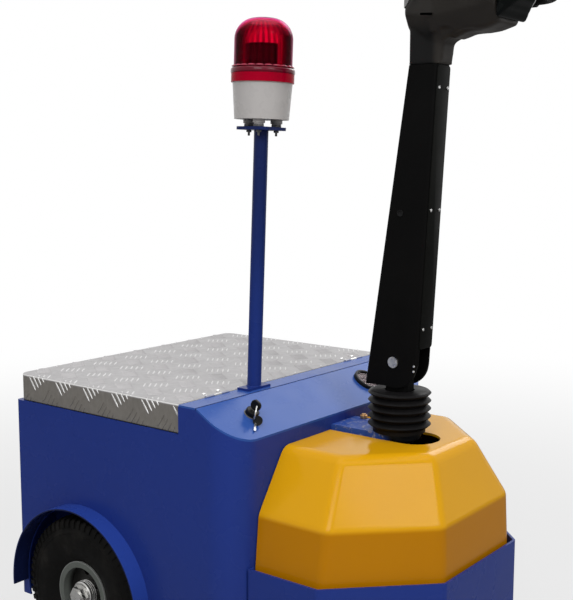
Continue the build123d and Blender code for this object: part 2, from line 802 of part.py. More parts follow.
arm_solid = arm_solid - rod_x(pivot_pin_r + running, -arm_half_w - 1, arm_half_w + 1, steer_y, pivot_z)
keep("tiller_arm", arm_solid)
pin = rod_x(pivot_pin_r, -arm_half_w, arm_half_w, steer_y, pivot_z)
pin_head = rod_x(pivot_head_r, arm_half_w, arm_half_w + pivot_head_h, steer_y, pivot_z)
keep("pivot_pin", pin + both_sides(pin_head))


# Tiller head: a neck on the arm, and a pod lofted forward from the neck to the nose
def head_section(y, half_low, half_wide, low, knee, top):
    """A section across the pod, narrow at its foot and widest from its knee up."""
    face = outline((
        (-half_low, low),
        (half_low, low),
        (half_wide, knee),
        (half_wide, top),
        (-half_wide, top),
        (-half_wide, knee),
    ), head_edge_r)
    return Plane(origin=(0, steer_y + y, arm_top), x_dir=(1, 0, 0), z_dir=(0, -1, 0)) * face


# Columns: y, half width at the foot, half width, height of the foot, of the knee and of the top
head_sections = (
    (head_heel, head_heel_low_w, head_heel_w, head_heel_low, head_heel_knee, head_top_h - head_heel_drop),
    (head_neck_front, arm_half_w, head_waist_w, head_waist_low, head_waist_knee, head_top_h),
    (head_nose, head_nose_low_w, head_half_w, button_low_h, head_nose_knee, head_top_h - head_nose_drop),
)
pod = loft([head_section(*row) for row in head_sections], ruled=True)
neck = block(
    (-arm_half_w, arm_half_w),
    (steer_y + head_neck_front, steer_y + arm_top_rear),
    (arm_top, arm_top + head_neck_h),
)
neck = fillet(neck.edges().filter_by(Axis.Z), arm_corner_r)
head = pod + neck


def above_seam(gap):
    """All that lies above the cover's seam, which drops at the head's rear."""
    level = arm_top + head_top_h - seam_below_top + gap
    face = outline((
        (steer_y, level - seam_drop),
        (steer_y + seam_rear_y, level - seam_drop),
        (steer_y + seam_rear_y - seam_drop, level),
        (steer_y + button_front, level),
        (steer_y + button_front, level + head_top_h),
        (steer_y, level + head_top_h),
    ))
    return prism_x(face, -handle_half_w, handle_half_w)


keep("tiller_head", head - above_seam(0.0))
keep("head_cover", head & above_seam(seam_gap))


# Handle: one closed loop of tube at each side of the pod, with a rubber grip on its outer side
handle_z = arm_top + head_top_h - handle_below_top
handle_wire = FilletPolyline(
    (handle_root_x, steer_y + handle_root_rear, handle_z),
    (handle_half_w, steer_y + handle_rear, handle_z),
    (handle_half_w, steer_y + handle_front, handle_z),
    (handle_root_x, steer_y + handle_root_front, handle_z),
    radius=handle_corner_r,
)
start = Plane(origin=handle_wire @ 0, z_dir=handle_wire % 0)
loop = sweep(start * Circle(handle_r), path=handle_wire)
keep("tiller_handle", both_sides(loop - head))


def corner_run(splay):
    """Length of the straight side that a corner takes up, where the tube leaves the pod at a slant."""
    turn = 90.0 + degrees(atan2(splay, handle_half_w - handle_root_x))
    return handle_corner_r * tan(radians(turn) / 2)


grip_rear = steer_y + handle_rear - corner_run(handle_rear - handle_root_rear) - grip_end_gap
grip_front = steer_y + handle_front + corner_run(handle_root_front - handle_front) + grip_end_gap
grip = rod_y(grip_r, grip_front, grip_rear, handle_half_w, handle_z)
grip = fillet(grip.edges().filter_by(GeomType.CIRCLE), (grip_r - handle_r) / 2)
grip = grip - rod_y(handle_r + running, grip_front, grip_rear, handle_half_w, handle_z)
keep("handle_grips", both_sides(grip))

# Stop button: a glossy cap over the whole nose, rounded in plan and in side view
button_rear = steer_y + head_nose - button_gap
button_nose = steer_y + button_front
button_low = arm_top + button_low_h
button_top = arm_top + button_top_h
button_plan = outline((
    (-button_half_w, button_rear),
    (button_half_w, button_rear),
    (button_half_w, button_nose),
    (-button_half_w, button_nose),
), button_arc_r, (2, 3))
button_side = outline((
    (button_rear, button_low),
    (button_rear, button_top),
    (button_nose, button_top),
    (button_nose, button_low),
), button_arc_r, (2, 3))
button = prism_z(button_plan, button_low, button_top) & prism_x(button_side, -button_half_w, button_half_w)
keep("stop_button", button)

# Thumb paddle at each side of the pod, on a short shaft
paddle_z = handle_z + paddle_shaft_r
paddle_x = head_half_w + paddle_gap
paddle = rod_x(paddle_r, paddle_x, paddle_x + paddle_w, steer_y + paddle_y, paddle_z)
paddle = paddle & block(
    (paddle_x, paddle_x + paddle_w),
    (steer_y + paddle_y - paddle_r, steer_y + paddle_y + paddle_r),
    (paddle_z - paddle_shaft_r, paddle_z + paddle_r),
)
paddle_shaft = rod_x(paddle_shaft_r, handle_root_x, paddle_x, steer_y + paddle_y, paddle_z) - head
keep("thumb_paddles", both_sides(paddle + paddle_shaft))

# Beacon and pole, built upright on the ledge and then leaned together
plate_z = pole_top
feet_z = plate_z + beacon_plate_t
base_z = feet_z + beacon_feet_h
ring_z = base_z + beacon_base_h
lens_z = ring_z + beacon_ring_h
foot = block(
    (-pole_foot_l / 2, pole_foot_l / 2),
    (-pole_foot_w / 2, pole_foot_w / 2),
    (lid_top, lid_top + pole_foot_t),
)
lean_axis = (-pole_lean_towards[1], pole_lean_towards[0])


def leaned(shape):
    turned = shape.rotate(Axis((0, 0, lid_top), (lean_axis[0], lean_axis[1], 0)), pole_lean_deg)
    return Pos(pole_x, pole_y, 0) * turned


pole = rod_z(pole_r, lid_top, pole_top)
over_foot = (lid_top + pole_foot_t, 2 * pole_top)
upright = leaned(pole) & block((-body_half_w, body_half_w), (-body_rear, body_rear), over_foot)
keep("beacon_pole", upright + Pos(pole_x, pole_y, 0) * foot)
plate = prism_z(RectangleRounded(beacon_plate_w, beacon_plate_w, beacon_plate_corner_r), plate_z, feet_z)
feet = None
for i in range(beacon_feet):
    turn = radians(90.0 + 360.0 * i / beacon_feet)
    foot_pin = rod_z(beacon_feet_r, feet_z, base_z, beacon_feet_pcr * cos(turn), beacon_feet_pcr * sin(turn))
    feet = foot_pin if feet is None else feet + foot_pin
keep("beacon_plate", leaned(plate))
base_face = make_face(Polyline(
    (0, 0, base_z),
    (beacon_base_low_r, 0, base_z),
    (beacon_base_top_r, 0, ring_z),
    (beacon_base_top_r - beacon_base_wall, 0, ring_z),
    (beacon_base_low_r - beacon_base_wall, 0, base_z + beacon_base_wall),
    (0, 0, base_z + beacon_base_wall),
    close=True,
))
base = revolve(base_face, axis=Axis.Z) + feet
keep("beacon_base", leaned(base))
lamp_ring = rod_z(beacon_ring_r, ring_z, lens_z) - rod_z(lens_r - lens_wall, ring_z, lens_z)
keep("beacon_ring", leaned(lamp_ring))
dome = rod_z(lens_r, lens_z, ring_z + beacon_ring_h + lens_h)
dome = fillet(dome.edges().group_by(Axis.Z)[-1], lens_shoulder_r)
inner_dome = rod_z(lens_r - lens_wall, lens_z, lens_z + lens_h - lens_wall)
inner_dome = fillet(inner_dome.edges().group_by(Axis.Z)[-1], lens_shoulder_r - lens_wall)
keep("beacon_lens", leaned(dome - inner_dome))
carrier = rod_z(beacon_base_low_r - carrier_inset, ring_z - carrier_t, ring_z)
carrier_post = rod_z(carrier_post_r, base_z + beacon_base_wall, ring_z - carrier_t)
cup_floor = ring_z + reflector_wall
cup = rod_z(reflector_r, ring_z, ring_z + beacon_ring_h + reflector_h)
cup = cup - rod_z(reflector_r - reflector_wall, cup_floor, lens_z + 2 * reflector_h)
past_cup = 2 * reflector_r
cup = cup - block((0, past_cup), (-past_cup, past_cup), (cup_floor, lens_z + 2 * reflector_h))
keep("beacon_reflector", leaned(carrier + carrier_post + cup))
bulb = rod_z(bulb_r, cup_floor, cup_floor + bulb_h)
keep("beacon_bulb", leaned(fillet(bulb.edges().group_by(Axis.Z)[-1], bulb_end_r)))

# Key switch: a round barrel in the slope, and the key that stands in it
barrel_solid = fillet(Cylinder(key_bezel_r, key_bezel_h).edges().group_by(Axis.Z)[-1], key_bezel_edge_r)
barrel_solid = Pos(0, 0, key_bezel_h / 2) * barrel_solid
keep("key_switch", on_slope(key_x, key_down) * barrel_solid)
blade = Pos(0, 0, key_bezel_h + key_blade_h / 2) * Box(key_t, key_blade_w, key_blade_h)
bow = Pos(0, 0, key_bezel_h + key_blade_h + key_bow_h / 2) * Box(key_t + key_bow_grip, key_bow_w, key_bow_h)
bow = fillet(bow.edges().filter_by(Axis.X), key_bow_r)
keep("key", on_slope(key_x, key_down) * (blade + bow))

# Round gauge in the slope, which gets a hole for its body
gauge_place = on_slope(gauge_x, gauge_down)
bezel = Cylinder(gauge_r, gauge_bezel_h) - Cylinder(gauge_glass_r, gauge_bezel_h)
bezel = Pos(0, 0, gauge_bezel_h / 2) * bezel
gauge_body = Pos(0, 0, (gauge_glass_seat - gauge_body_h) / 2) * Cylinder(gauge_body_r, gauge_body_h + gauge_glass_seat)
keep("gauge", gauge_place * (bezel + gauge_body))
glass_h = gauge_bezel_h - gauge_glass_below - gauge_glass_seat
glass = Pos(0, 0, gauge_glass_seat + glass_h / 2) * Cylinder(gauge_glass_r, glass_h)
keep("gauge_glass", gauge_place * glass)
keep("console_panel", nodes["console_panel"] - gauge_place * Cylinder(gauge_body_r, 2 * gauge_body_h))

# Tow jaw: two ears on a plate, and a ring beside them where the pin is parked
jaw = block(
    (-hitch_plate_w / 2, hitch_plate_w / 2),
    (body_rear, body_rear + hitch_plate_t),
    (hitch_z - hitch_plate_h / 2, hitch_z + hitch_plate_h / 2),
)
ear_face_y = body_rear + hitch_plate_t
bore_y = ear_face_y + hitch_ear_reach - hitch_ear_w / 2
for z0 in (hitch_z - hitch_gap / 2 - hitch_ear_t, hitch_z + hitch_gap / 2):
    ear = block((-hitch_ear_w / 2, hitch_ear_w / 2), (ear_face_y, bore_y), (z0, z0 + hitch_ear_t))
    jaw = jaw + ear + rod_z(hitch_ear_w / 2, z0, z0 + hitch_ear_t, 0, bore_y)
jaw = jaw - rod_z(hitch_bore_r, 0, lid_top, 0, bore_y)
keep_z = hitch_z + hitch_gap / 2
pin_x = pin_keep_x
pin_y = ear_face_y + pin_keep_reach - pin_keep_w / 2
shelf = block(
    (pin_x - pin_keep_w / 2, pin_x + pin_keep_w / 2),
    (ear_face_y, pin_y),
    (keep_z, keep_z + hitch_ear_t),
)
shelf = shelf + rod_z(pin_keep_w / 2, keep_z, keep_z + hitch_ear_t, pin_x, pin_y)
jaw = jaw + shelf - rod_z(tow_pin_r + tow_pin_gap, 0, lid_top, pin_x, pin_y)
keep("tow_jaw", jaw)
tow_pin = rod_z(tow_pin_r, keep_z + hitch_ear_t - tow_pin_l, keep_z + hitch_ear_t + tow_pin_above, pin_x, pin_y)
tow_pin = tow_pin + rod_z(tow_pin_grip_r, keep_z + hitch_ear_t, keep_z + hitch_ear_t + tow_pin_grip_t, pin_x, pin_y)
keep("tow_pin", tow_pin)

# The origin is on the ground under the middle of the overall length
whole = Compound(children=[Compound(children=list(s.solids())) for s in nodes.values()]).bounding_box()
middle_y = (whole.min.Y + whole.max.Y) / 2
print("moved along Y by", -middle_y, "overall", whole.size)
for name, shape in nodes.items():
    export_step(Pos(0, -middle_y, 0) * shape, "parts/" + name + ".step")
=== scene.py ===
import json
from math import atan2, cos, pi, radians, sin
import bpy
import bmesh
from mathutils import Matrix, Vector

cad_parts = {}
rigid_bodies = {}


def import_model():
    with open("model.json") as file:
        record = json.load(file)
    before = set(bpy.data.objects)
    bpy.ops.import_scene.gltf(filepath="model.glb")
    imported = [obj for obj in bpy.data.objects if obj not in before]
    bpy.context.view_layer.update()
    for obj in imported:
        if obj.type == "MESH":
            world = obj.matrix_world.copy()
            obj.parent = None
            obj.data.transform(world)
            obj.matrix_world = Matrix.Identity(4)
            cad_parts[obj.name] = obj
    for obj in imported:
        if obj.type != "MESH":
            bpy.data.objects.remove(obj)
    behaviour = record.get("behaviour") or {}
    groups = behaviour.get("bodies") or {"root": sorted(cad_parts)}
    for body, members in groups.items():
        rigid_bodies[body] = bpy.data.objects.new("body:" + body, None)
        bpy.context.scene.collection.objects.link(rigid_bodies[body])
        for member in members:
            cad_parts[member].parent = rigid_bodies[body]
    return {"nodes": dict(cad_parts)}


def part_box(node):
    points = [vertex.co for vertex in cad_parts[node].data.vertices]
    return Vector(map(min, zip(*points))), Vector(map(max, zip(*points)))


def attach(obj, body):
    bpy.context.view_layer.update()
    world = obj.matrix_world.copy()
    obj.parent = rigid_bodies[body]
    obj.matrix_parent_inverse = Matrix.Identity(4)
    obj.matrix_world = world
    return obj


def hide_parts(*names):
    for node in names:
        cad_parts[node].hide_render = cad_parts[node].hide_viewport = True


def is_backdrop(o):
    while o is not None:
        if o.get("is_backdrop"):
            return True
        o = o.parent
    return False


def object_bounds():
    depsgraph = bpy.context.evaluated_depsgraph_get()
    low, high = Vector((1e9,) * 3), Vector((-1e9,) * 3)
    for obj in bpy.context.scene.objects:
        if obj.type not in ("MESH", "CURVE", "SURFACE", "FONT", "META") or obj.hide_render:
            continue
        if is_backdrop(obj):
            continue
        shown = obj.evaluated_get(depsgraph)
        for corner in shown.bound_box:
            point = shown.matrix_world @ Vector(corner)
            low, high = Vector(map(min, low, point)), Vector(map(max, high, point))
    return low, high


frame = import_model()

cad_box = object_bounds()
nodes = frame["nodes"]

# The camera stands ahead of the tug and to its right, a little lower than the beacon, and looks
# back and slightly down. The picture is taller than it is wide, so the sensor's long side is upright.
scene = bpy.context.scene
camera_data = bpy.data.cameras.new("camera")
camera_data.sensor_fit = "AUTO"
camera_data.sensor_width = 36
camera_data.lens = 62.97
camera = bpy.data.objects.new("camera", camera_data)
collection = scene.collection.objects
collection.link(camera)
camera_yaw = radians(-52.23)
camera_pitch = radians(-7.57)
camera_roll = radians(0.11)
camera.location = (-1.4474, -1.1295, 0.8812)
scene.camera = camera


def turned(angle, letter):
    """A turn about one axis."""
    return Matrix.Rotation(angle, 4, letter)


camera.rotation_euler = (
    turned(camera_yaw, "Z") @ turned(pi / 2 + camera_pitch, "X") @ turned(camera_roll, "Z")).to_euler()


# Soft studio light: a large lamp overhead, one high on the tug's left, one in front and one on its right.
# The world is plain white to the camera, in reflections and through glass, and dimmer as a light.
class Wire:
    """One socket of a node tree. Sums with wires add Math nodes."""

    def __init__(self, owner, socket):
        self.owner = owner
        self.socket = socket

    def math(self, kind, *others):
        return self.owner.node("Math", {"operation": kind}, [self, *others])

    def __add__(self, other):
        return self.math("ADD", other)

    def __mul__(self, other):
        return self.math("MULTIPLY", other)

    def __sub__(self, other):
        return self.math("SUBTRACT", other)

    def reach(self, other):
        """The distance from the origin of two coordinates."""
        return (self * self + other * other).math("SQRT")


class Nodes:
    """A node tree. One method adds every node."""

    def __init__(self, tree):
        self.tree = tree

    def node(self, kind, settings=None, values=(), out=0, **named):
        made = self.tree.nodes.new("ShaderNode" + kind)
        for setting, value in (settings or {}).items():
            setattr(made, setting, value)
        for socket, value in list(enumerate(values)) + list(named.items()):
            if value is None:
                continue
            if isinstance(value, Wire):
                self.tree.links.new(value.socket, made.inputs[socket])
            elif isinstance(value, tuple) and made.inputs[socket].type == "RGBA":
                made.inputs[socket].default_value = (*value[:3], 1)
            else:
                made.inputs[socket].default_value = value
        return Wire(self, made.outputs[out])


scene.view_settings.view_transform = "Standard"
world = bpy.data.worlds.new("studio")
scene.world = world
world.use_nodes = True
sky = world.node_tree.nodes["Background"]
sky.inputs["Color"].default_value = (1, 1, 1, 1)
studio = Nodes(world.node_tree)
camera_sees, gloss_sees, glass_sees = [
    studio.node("LightPath", out="Is " + ray + " Ray") for ray in ("Camera", "Glossy", "Transmission")]
any_sees = camera_sees.math("MAXIMUM", gloss_sees).math("MAXIMUM", glass_sees)
level = studio.node("MapRange", values=[any_sees, 0, 1, 0.3, 1])
world.node_tree.links.new(level.socket, sky.inputs["Strength"])
# Columns: name, place, what it points at, size, power
lamps = (
    ("overhead_lamp", (-0.2, -0.1, 3.2), (0, 0, 0.4), 2.4, 30),
    ("left_lamp", (2.3, 0.1, 2.2), (0, 0, 0.5), 1.2, 18),
    ("front_lamp", (-0.9, -2.7, 2.4), (0, -0.3, 0.3), 1.3, 30),
    ("right_lamp", (-2.6, -1, 2.4), (0, 0, 0.4), 1.4, 34),
)
for name, place, target, size, power in lamps:
    lamp_data = bpy.data.lights.new(name, "AREA")
    lamp_data.shape = "SQUARE"
    lamp_data.size = size
    lamp_data.energy = power
    lamp = bpy.data.objects.new(name, lamp_data)
    lamp.location = place
    lamp.rotation_euler = (Vector(target) - Vector(place)).to_track_quat("-Z", "Y").to_euler()
    collection.link(lamp)


# The floor is a plain pale sheet, much larger than the view. It keeps the tug's soft shadow, and the
# camera sees it almost white.
class Finish(Nodes):
    """A procedural material round one Principled shader. Its patterns lie in the object's metres."""

    def __init__(self, name, ior=1.5, specular=0.5, **plain):
        self.material = bpy.data.materials.new(name)
        self.material.use_nodes = True
        super().__init__(self.material.node_tree)
        self.shader = self.tree.nodes["Principled BSDF"]
        self.place = self.node("TexCoord", out="Object")
        for socket, value in {"IOR": ior, "Specular_IOR_Level": specular, **plain}.items():
            self.shader.inputs[socket.replace("_", " ")].default_value = value

    def feed(self, socket, wire):
        self.tree.links.new(wire.socket, self.shader.inputs[socket])

    def noise(self, scale, detail=2, rough=0.5, stretch=(1, 1, 1)):
        """Cloudy noise from 0 to 1, with its scale in cells a metre."""
        at = self.node("VectorMath", {"operation": "MULTIPLY"}, [self.place, stretch])
        return self.node("TexNoise", Vector=at, Scale=scale, Detail=detail, Roughness=rough)

    def fade(self, wire, low, high, to_low=0, to_high=1):
        """Goes smoothly from to_low to to_high as the wire goes from low to high."""
        values = [wire, low, high, to_low, to_high]
        return self.node("MapRange", {"interpolation_type": "SMOOTHSTEP"}, values)

    def blend(self, amount, first, second):
        """Colour that goes from the first to the second with the amount."""
        values = [amount, None, None, None, None, None, first, second]
        return self.node("Mix", {"data_type": "RGBA"}, values, out=2)

    def tint(self, first, second, *cloud):
        """Base colour that drifts between two colours with a noise."""
        self.feed("Base Color", self.blend(self.noise(*cloud), first, second))

    def dull(self, low, high, *cloud):
        """Roughness that drifts between two values with a noise."""
        self.feed("Roughness", self.fade(self.noise(*cloud), 0.3, 0.7, low, high))

    def axis(self, letter):
        """One coordinate, in metres."""
        return self.node("SeparateXYZ", values=[self.place], out=letter)

    def along(self, letter, *levels):
        """A fade along one coordinate."""
        return self.fade(self.axis(letter), *levels)

    def bump(self, height, depth):
        """Feeds Normal from a height of 0 to 1, with its depth in metres."""
        self.feed("Normal", self.node("Bump", Height=height, Distance=depth))

    def grain(self, depth, *cloud):
        """A bump of noise, with its depth in metres."""
        self.bump(self.noise(*cloud), depth)


bpy.ops.object.select_all(action="DESELECT")
bpy.ops.mesh.primitive_plane_add(size=24)
floor = bpy.context.object
floor.name = "floor"
pale = Finish("floor_paint", Roughness=0.9)
pale.tint((0.42, 0.42, 0.42), (0.44, 0.44, 0.44), 0.4)
floor_glow = pale.node("Emission", Color=(1, 1, 1), Strength=1)
floor_seen = pale.node("LightPath", out="Is Camera Ray")
floor_r = pale.node("VectorMath", {"operation": "LENGTH"}, [pale.place], out="Value")
floor_far = pale.fade(floor_r, 0.7, 3.2, 0.7, 1)
floor_show = floor_seen * floor_far
floor_own = Wire(pale, pale.shader.outputs[0])
floor_mix = pale.node("MixShader", values=[floor_show, floor_own, floor_glow])
floor_end = pale.tree.nodes["Material Output"]
pale.tree.links.new(floor_mix.socket, floor_end.inputs["Surface"])
floor.data.materials.append(pale.material)
floor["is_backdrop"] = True


# The battery box, skirt, mudguards, console and pole are folded steel sheet, sprayed with blue enamel. The
# enamel has a faint orange peel and dulls a little towards the floor.
def coat(finish, *names):
    """Gives the material to CAD nodes."""
    for name in names:
        nodes[name].data.materials.clear()
        nodes[name].data.materials.append(finish.material)


blue = Finish("blue_enamel", 1.45, 0.14)
blue_low = blue.along("Z", 0.08, 0.34, 1, 0)
blue_clear = blue.blend(blue.noise(3, 3), (0.0155, 0.038, 0.232), (0.0185, 0.043, 0.258))
blue_dust = blue_low * blue.noise(26, 5, 0.6) * 0.35
blue.feed("Base Color", blue.blend(blue_dust, blue_clear, (0.04, 0.05, 0.12)))
blue.dull(0.2, 0.32, 14, 4)
blue.grain(0.00003, 240, 1)
coat(blue, "side_panel_left", "side_panel_right", "front_bulkhead", "rear_panel", "wheel_well_left",
     "wheel_well_right", "battery_tray", "front_skirt", "drive_deck")

# The bracket that steadies the tiller's column has the same enamel, painted paler as lit from above, and
# scuffed to the metal on top. Round its front end it is painted black as shade.
bracket = Finish("bracket_enamel", 1.45, 0.22, Specular_Tint=(0.5, 0.7, 1, 1))
bracket_front_painted_shade = bracket.along("Y", -0.252, -0.226, 1, 0)
bracket_scuff = bracket.fade(bracket.noise(95, 5, 0.7), 0.54, 0.66)
bracket_top_up = bracket.along("Z", 0.4255, 0.4275)
bracket_sheen_and_scuffs = bracket.blend(bracket_scuff * bracket_top_up, (0.03, 0.08, 0.34), (0.3, 0.31, 0.42))
bracket.feed("Base Color", bracket.blend(bracket_front_painted_shade, bracket_sheen_and_scuffs, (0.0035, 0.003, 0.003)))
bracket.dull(0.25, 0.45, 30, 4)
bracket.grain(0.0003, 120, 3)
coat(bracket, "column_bracket")

# The pole and the beacon's plate are a darker blue, more so towards the top, where less light comes up
# from the floor.
enamel = Finish("pole_enamel", 1.45, 0.12)
pole_up = enamel.along("Z", 0.55, 0.92)
pole_dark = pole_up + enamel.noise(8, 3) * 0.25
enamel.feed("Base Color", enamel.blend(pole_dark, (0.015, 0.037, 0.215), (0.008, 0.018, 0.095)))
enamel.dull(0.22, 0.34, 14, 4)
enamel.grain(0.00003, 240, 1)
coat(enamel, "beacon_pole", "beacon_plate")

# The console is a level ledge and a slope, bent from two sheets that meet in a fine dark joint. It looks
# up at the sky, so its enamel is painted paler than the walls', as a painted sheen.
hinge_line = -0.01775
slope_fall, slope_run = 0.0465, 0.076
slope_angle = atan2(slope_fall, slope_run)
ledge_w = 0.0373
ledge_edge = hinge_line - ledge_w
console = Finish("console_enamel", 1.45, 0.13, Specular_Tint=(0.5, 0.7, 1, 1))
console_y = console.axis("Y")
console_line = console.fade(console_y, ledge_edge - 0.0011, ledge_edge - 0.0006) * console.fade(
    console_y, ledge_edge + 0.0006, ledge_edge + 0.0011, 1, 0)
console_painted_sheen = console.blend(console.noise(3, 3), (0.03, 0.088, 0.35), (0.037, 0.102, 0.385))
console.feed("Base Color", console.blend(console_line, console_painted_sheen, (0.006, 0.018, 0.1)))
console.feed("Roughness", console.fade(console.noise(14, 4), 0.3, 0.7, 0.2, 0.3) + console_line * 0.6)
console.bump(console.noise(240, 1) * 0.05 - console_line, 0.0005)
coat(console, "console_panel")

# The fixed hinge leaves are painted over with the ledge. Their knuckles are painted pale as a highlight,
# and a dark strip painted beside each stands for the knuckle's shadow.
leaf = Finish("painted_hinge", 1.45, 0.15)
leaf_y = leaf.axis("Y")
knuckle_painted_highlight = leaf.fade(leaf_y, hinge_line - 0.0032, hinge_line - 0.0022)
leaf_painted_shadow = leaf.fade(leaf_y, hinge_line - 0.0058, hinge_line - 0.0048) - knuckle_painted_highlight
leaf_paint = leaf.blend(leaf_painted_shadow, (0.032, 0.092, 0.36), (0.004, 0.008, 0.045))
leaf.feed("Base Color", leaf.blend(knuckle_painted_highlight, leaf_paint, (0.34, 0.35, 0.42)))
leaf.dull(0.22, 0.34, 90, 3)
leaf.grain(0.00003, 400, 2)
coat(leaf, "console_hinge_leaves")

# The axle plates, tow jaw and motor are sprayed satin black, as the arm and the handle's tubes are. The
# spray leaves a fine grain.
black = Finish("black_enamel", 1.45, 0.03)
black.tint((0.0032, 0.0032, 0.0034), (0.0062, 0.006, 0.0058), 12, 3)
black.dull(0.32, 0.46, 25, 4)
black.grain(0.00004, 650, 2)
coat(black, "axle_brackets", "tow_jaw", "drive_motor", "tiller_arm", "tiller_handle", "steering_column")

# The lid's hinge leaves, the axle, its nuts and the pins are zinc-plated steel. Handling leaves the
# plating cloudy.
zinc = Finish("zinc_plate", Metallic=1)
zinc.tint((0.42, 0.415, 0.4), (0.66, 0.655, 0.64), 70, 4, 0.6)
zinc.dull(0.24, 0.42, 150, 3)
zinc.grain(0.00003, 900, 2)
coat(zinc, "lid_hinge_leaves", "axle_nuts", "rear_axle", "pivot_pin", "tow_pin")

# The deck ring, the gearbox and the drive wheel are grey iron castings, with the coarse skin that a sand
# mould leaves.
iron = Finish("cast_iron", Metallic=0.6)
iron.tint((0.09, 0.09, 0.092), (0.17, 0.168, 0.165), 30, 5, 0.6)
iron.dull(0.5, 0.7, 80, 4)
iron.grain(0.0003, 420, 4)
coat(iron, "steering_ring", "drive_gearbox", "drive_wheel_hub")

# The batteries stand on the tray in dark plastic cases. Each gets a lid with screw caps over its cells and a
# lead post at each end.
case = Finish("battery_case", 1.45, 0.25)
case.tint((0.03, 0.031, 0.034), (0.045, 0.046, 0.05), 14, 3)
case.dull(0.4, 0.6, 40, 3)
case.grain(0.00005, 800, 2)
coat(case, "batteries")


def closed():
    """Goes back to object mode."""
    bpy.ops.object.mode_set(mode="OBJECT")


def corners(name):
    """The low and high corner of a CAD node's box."""
    return [Vector(corner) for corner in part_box(name)]


def take(*pieces):
    """Selects only these pieces, with the first one active."""
    bpy.ops.object.select_all(action="DESELECT")
    for piece in pieces:
        piece.select_set(True)
    bpy.context.view_layer.objects.active = pieces[0]


def start(kind, name, **size):
    """Adds a primitive with nothing else selected, and opens it for editing."""
    bpy.ops.object.select_all(action="DESELECT")
    getattr(bpy.ops.mesh, "primitive_" + kind + "_add")(**size)
    piece = bpy.context.object
    piece.name = name
    bpy.ops.object.transform_apply()
    bpy.ops.object.mode_set(mode="EDIT")
    return piece


def disc(name, sides, r, h, z=0):
    """Starts an upright cylinder or prism with its middle at a height."""
    return start("cylinder", name, vertices=sides, radius=r, depth=h, location=(0, 0, z))


def brick(name, size):
    """Starts a box."""
    return start("cube", name, size=1, scale=size)


def pick(piece, kind, test):
    """Selects the parts that pass the test: of VERT and EDGE their middle, of FACE also the normal."""
    bpy.ops.mesh.select_mode(type=kind)
    bpy.ops.mesh.select_all(action="DESELECT")
    mesh = bmesh.from_edit_mesh(piece.data)
    parts = {"VERT": mesh.verts, "EDGE": mesh.edges, "FACE": mesh.faces}[kind]
    for part in parts:
        points = [part] if kind == "VERT" else part.verts
        middle = sum((point.co for point in points), Vector()) / len(points)
        if test(middle, part.normal) if kind == "FACE" else test(middle):
            part.select_set(True)
    mesh.select_flush_mode()
    bmesh.update_edit_mesh(piece.data)


def bevelled(width, steps):
    """Bevels the edges that are selected."""
    bpy.ops.mesh.bevel(offset=width, segments=steps, affect="EDGES")


def pushed(way):
    """Extrudes what is selected along a vector."""
    bpy.ops.mesh.extrude_region_move(TRANSFORM_OT_translate={"value": way})


def sunk(piece, margin, depth):
    """Insets the face that looks up, and moves it up by the depth."""
    pick(piece, "FACE", lambda at, normal: normal.z > 0.9)
    bpy.ops.mesh.inset(thickness=margin)
    pushed((0, 0, depth))


def rounded(width, steps=2, sharper_than=30):
    """Bevels all edges sharper than an angle, and goes back to object mode."""
    bpy.ops.mesh.select_mode(type="EDGE")
    bpy.ops.mesh.select_all(action="DESELECT")
    bpy.ops.mesh.edges_select_sharp(sharpness=radians(sharper_than))
    bevelled(width, steps)
    closed()


def moved(x, y, z):
    """A shift, as a matrix."""
    return Matrix.Translation((x, y, z))


def copied(piece, place):
    """A copy with its own mesh, moved by a matrix or to a point."""
    made = piece.copy()
    made.data = piece.data.copy()
    collection.link(made)
    made.matrix_world = place if isinstance(place, Matrix) else Matrix.Translation(place)
    return made


def joined(pieces, name):
    """Makes one piece of several, at the origin."""
    take(*pieces)
    bpy.ops.object.transform_apply()
    bpy.ops.object.join()
    pieces[0].name = name
    return pieces[0]


def scattered(piece, places, name):
    """Copies a piece to each place, joins the copies and drops the first one."""
    copies = [copied(piece, place) for place in places]
    bpy.data.objects.remove(piece)
    return joined(copies, name)


def done(piece, finish, body="chassis", smooth=35):
    """Finishes a piece: its place goes into its mesh, and it gets its shading, material and body."""
    take(piece)
    bpy.ops.object.transform_apply()
    bpy.ops.object.shade_smooth_by_angle(angle=radians(smooth))
    piece.data.materials.clear()
    piece.data.materials.append(finish.material)
    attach(piece, body)


bank_low, bank_high = corners("batteries")
case_l = 0.172
bank_x = (bank_low.x + bank_high.x) / 2
bank_half_w = (bank_high.x - bank_low.x) / 2
bank_rows = (bank_low.y + case_l / 2, bank_high.y - case_l / 2)
lid_inset = 0.012
lid_size = (2 * bank_half_w - lid_inset, case_l - lid_inset, 0.009)
case_lid = brick("battery_lid", lid_size)
rounded(0.003)
lid_places = [(bank_x, y, bank_high.z + 0.0042) for y in bank_rows]
done(scattered(case_lid, lid_places, "battery_lids"), case)
cap = disc("cell_cap", 24, 0.013, 0.008)
sunk(cap, 0.004, -0.0025)
rounded(0.0008)
cells, cell_pitch = 6, 0.046
cap_places = [
    (bank_x + (i - (cells - 1) / 2) * cell_pitch, y, bank_high.z + 0.0115)
    for y in bank_rows for i in range(cells)]
done(scattered(cap, cap_places, "cell_caps"), case)
post = start("cone", "battery_post", vertices=24, radius1=0.009, radius2=0.0078, depth=0.016)
rounded(0.001)
post_x, post_y = bank_half_w - 0.028, 0.05
post_places = [
    (bank_x + side * post_x, y + post_y, bank_high.z + 0.0155)
    for y in bank_rows for side in (-1, 1)]
done(scattered(post, post_places, "battery_posts"), zinc)
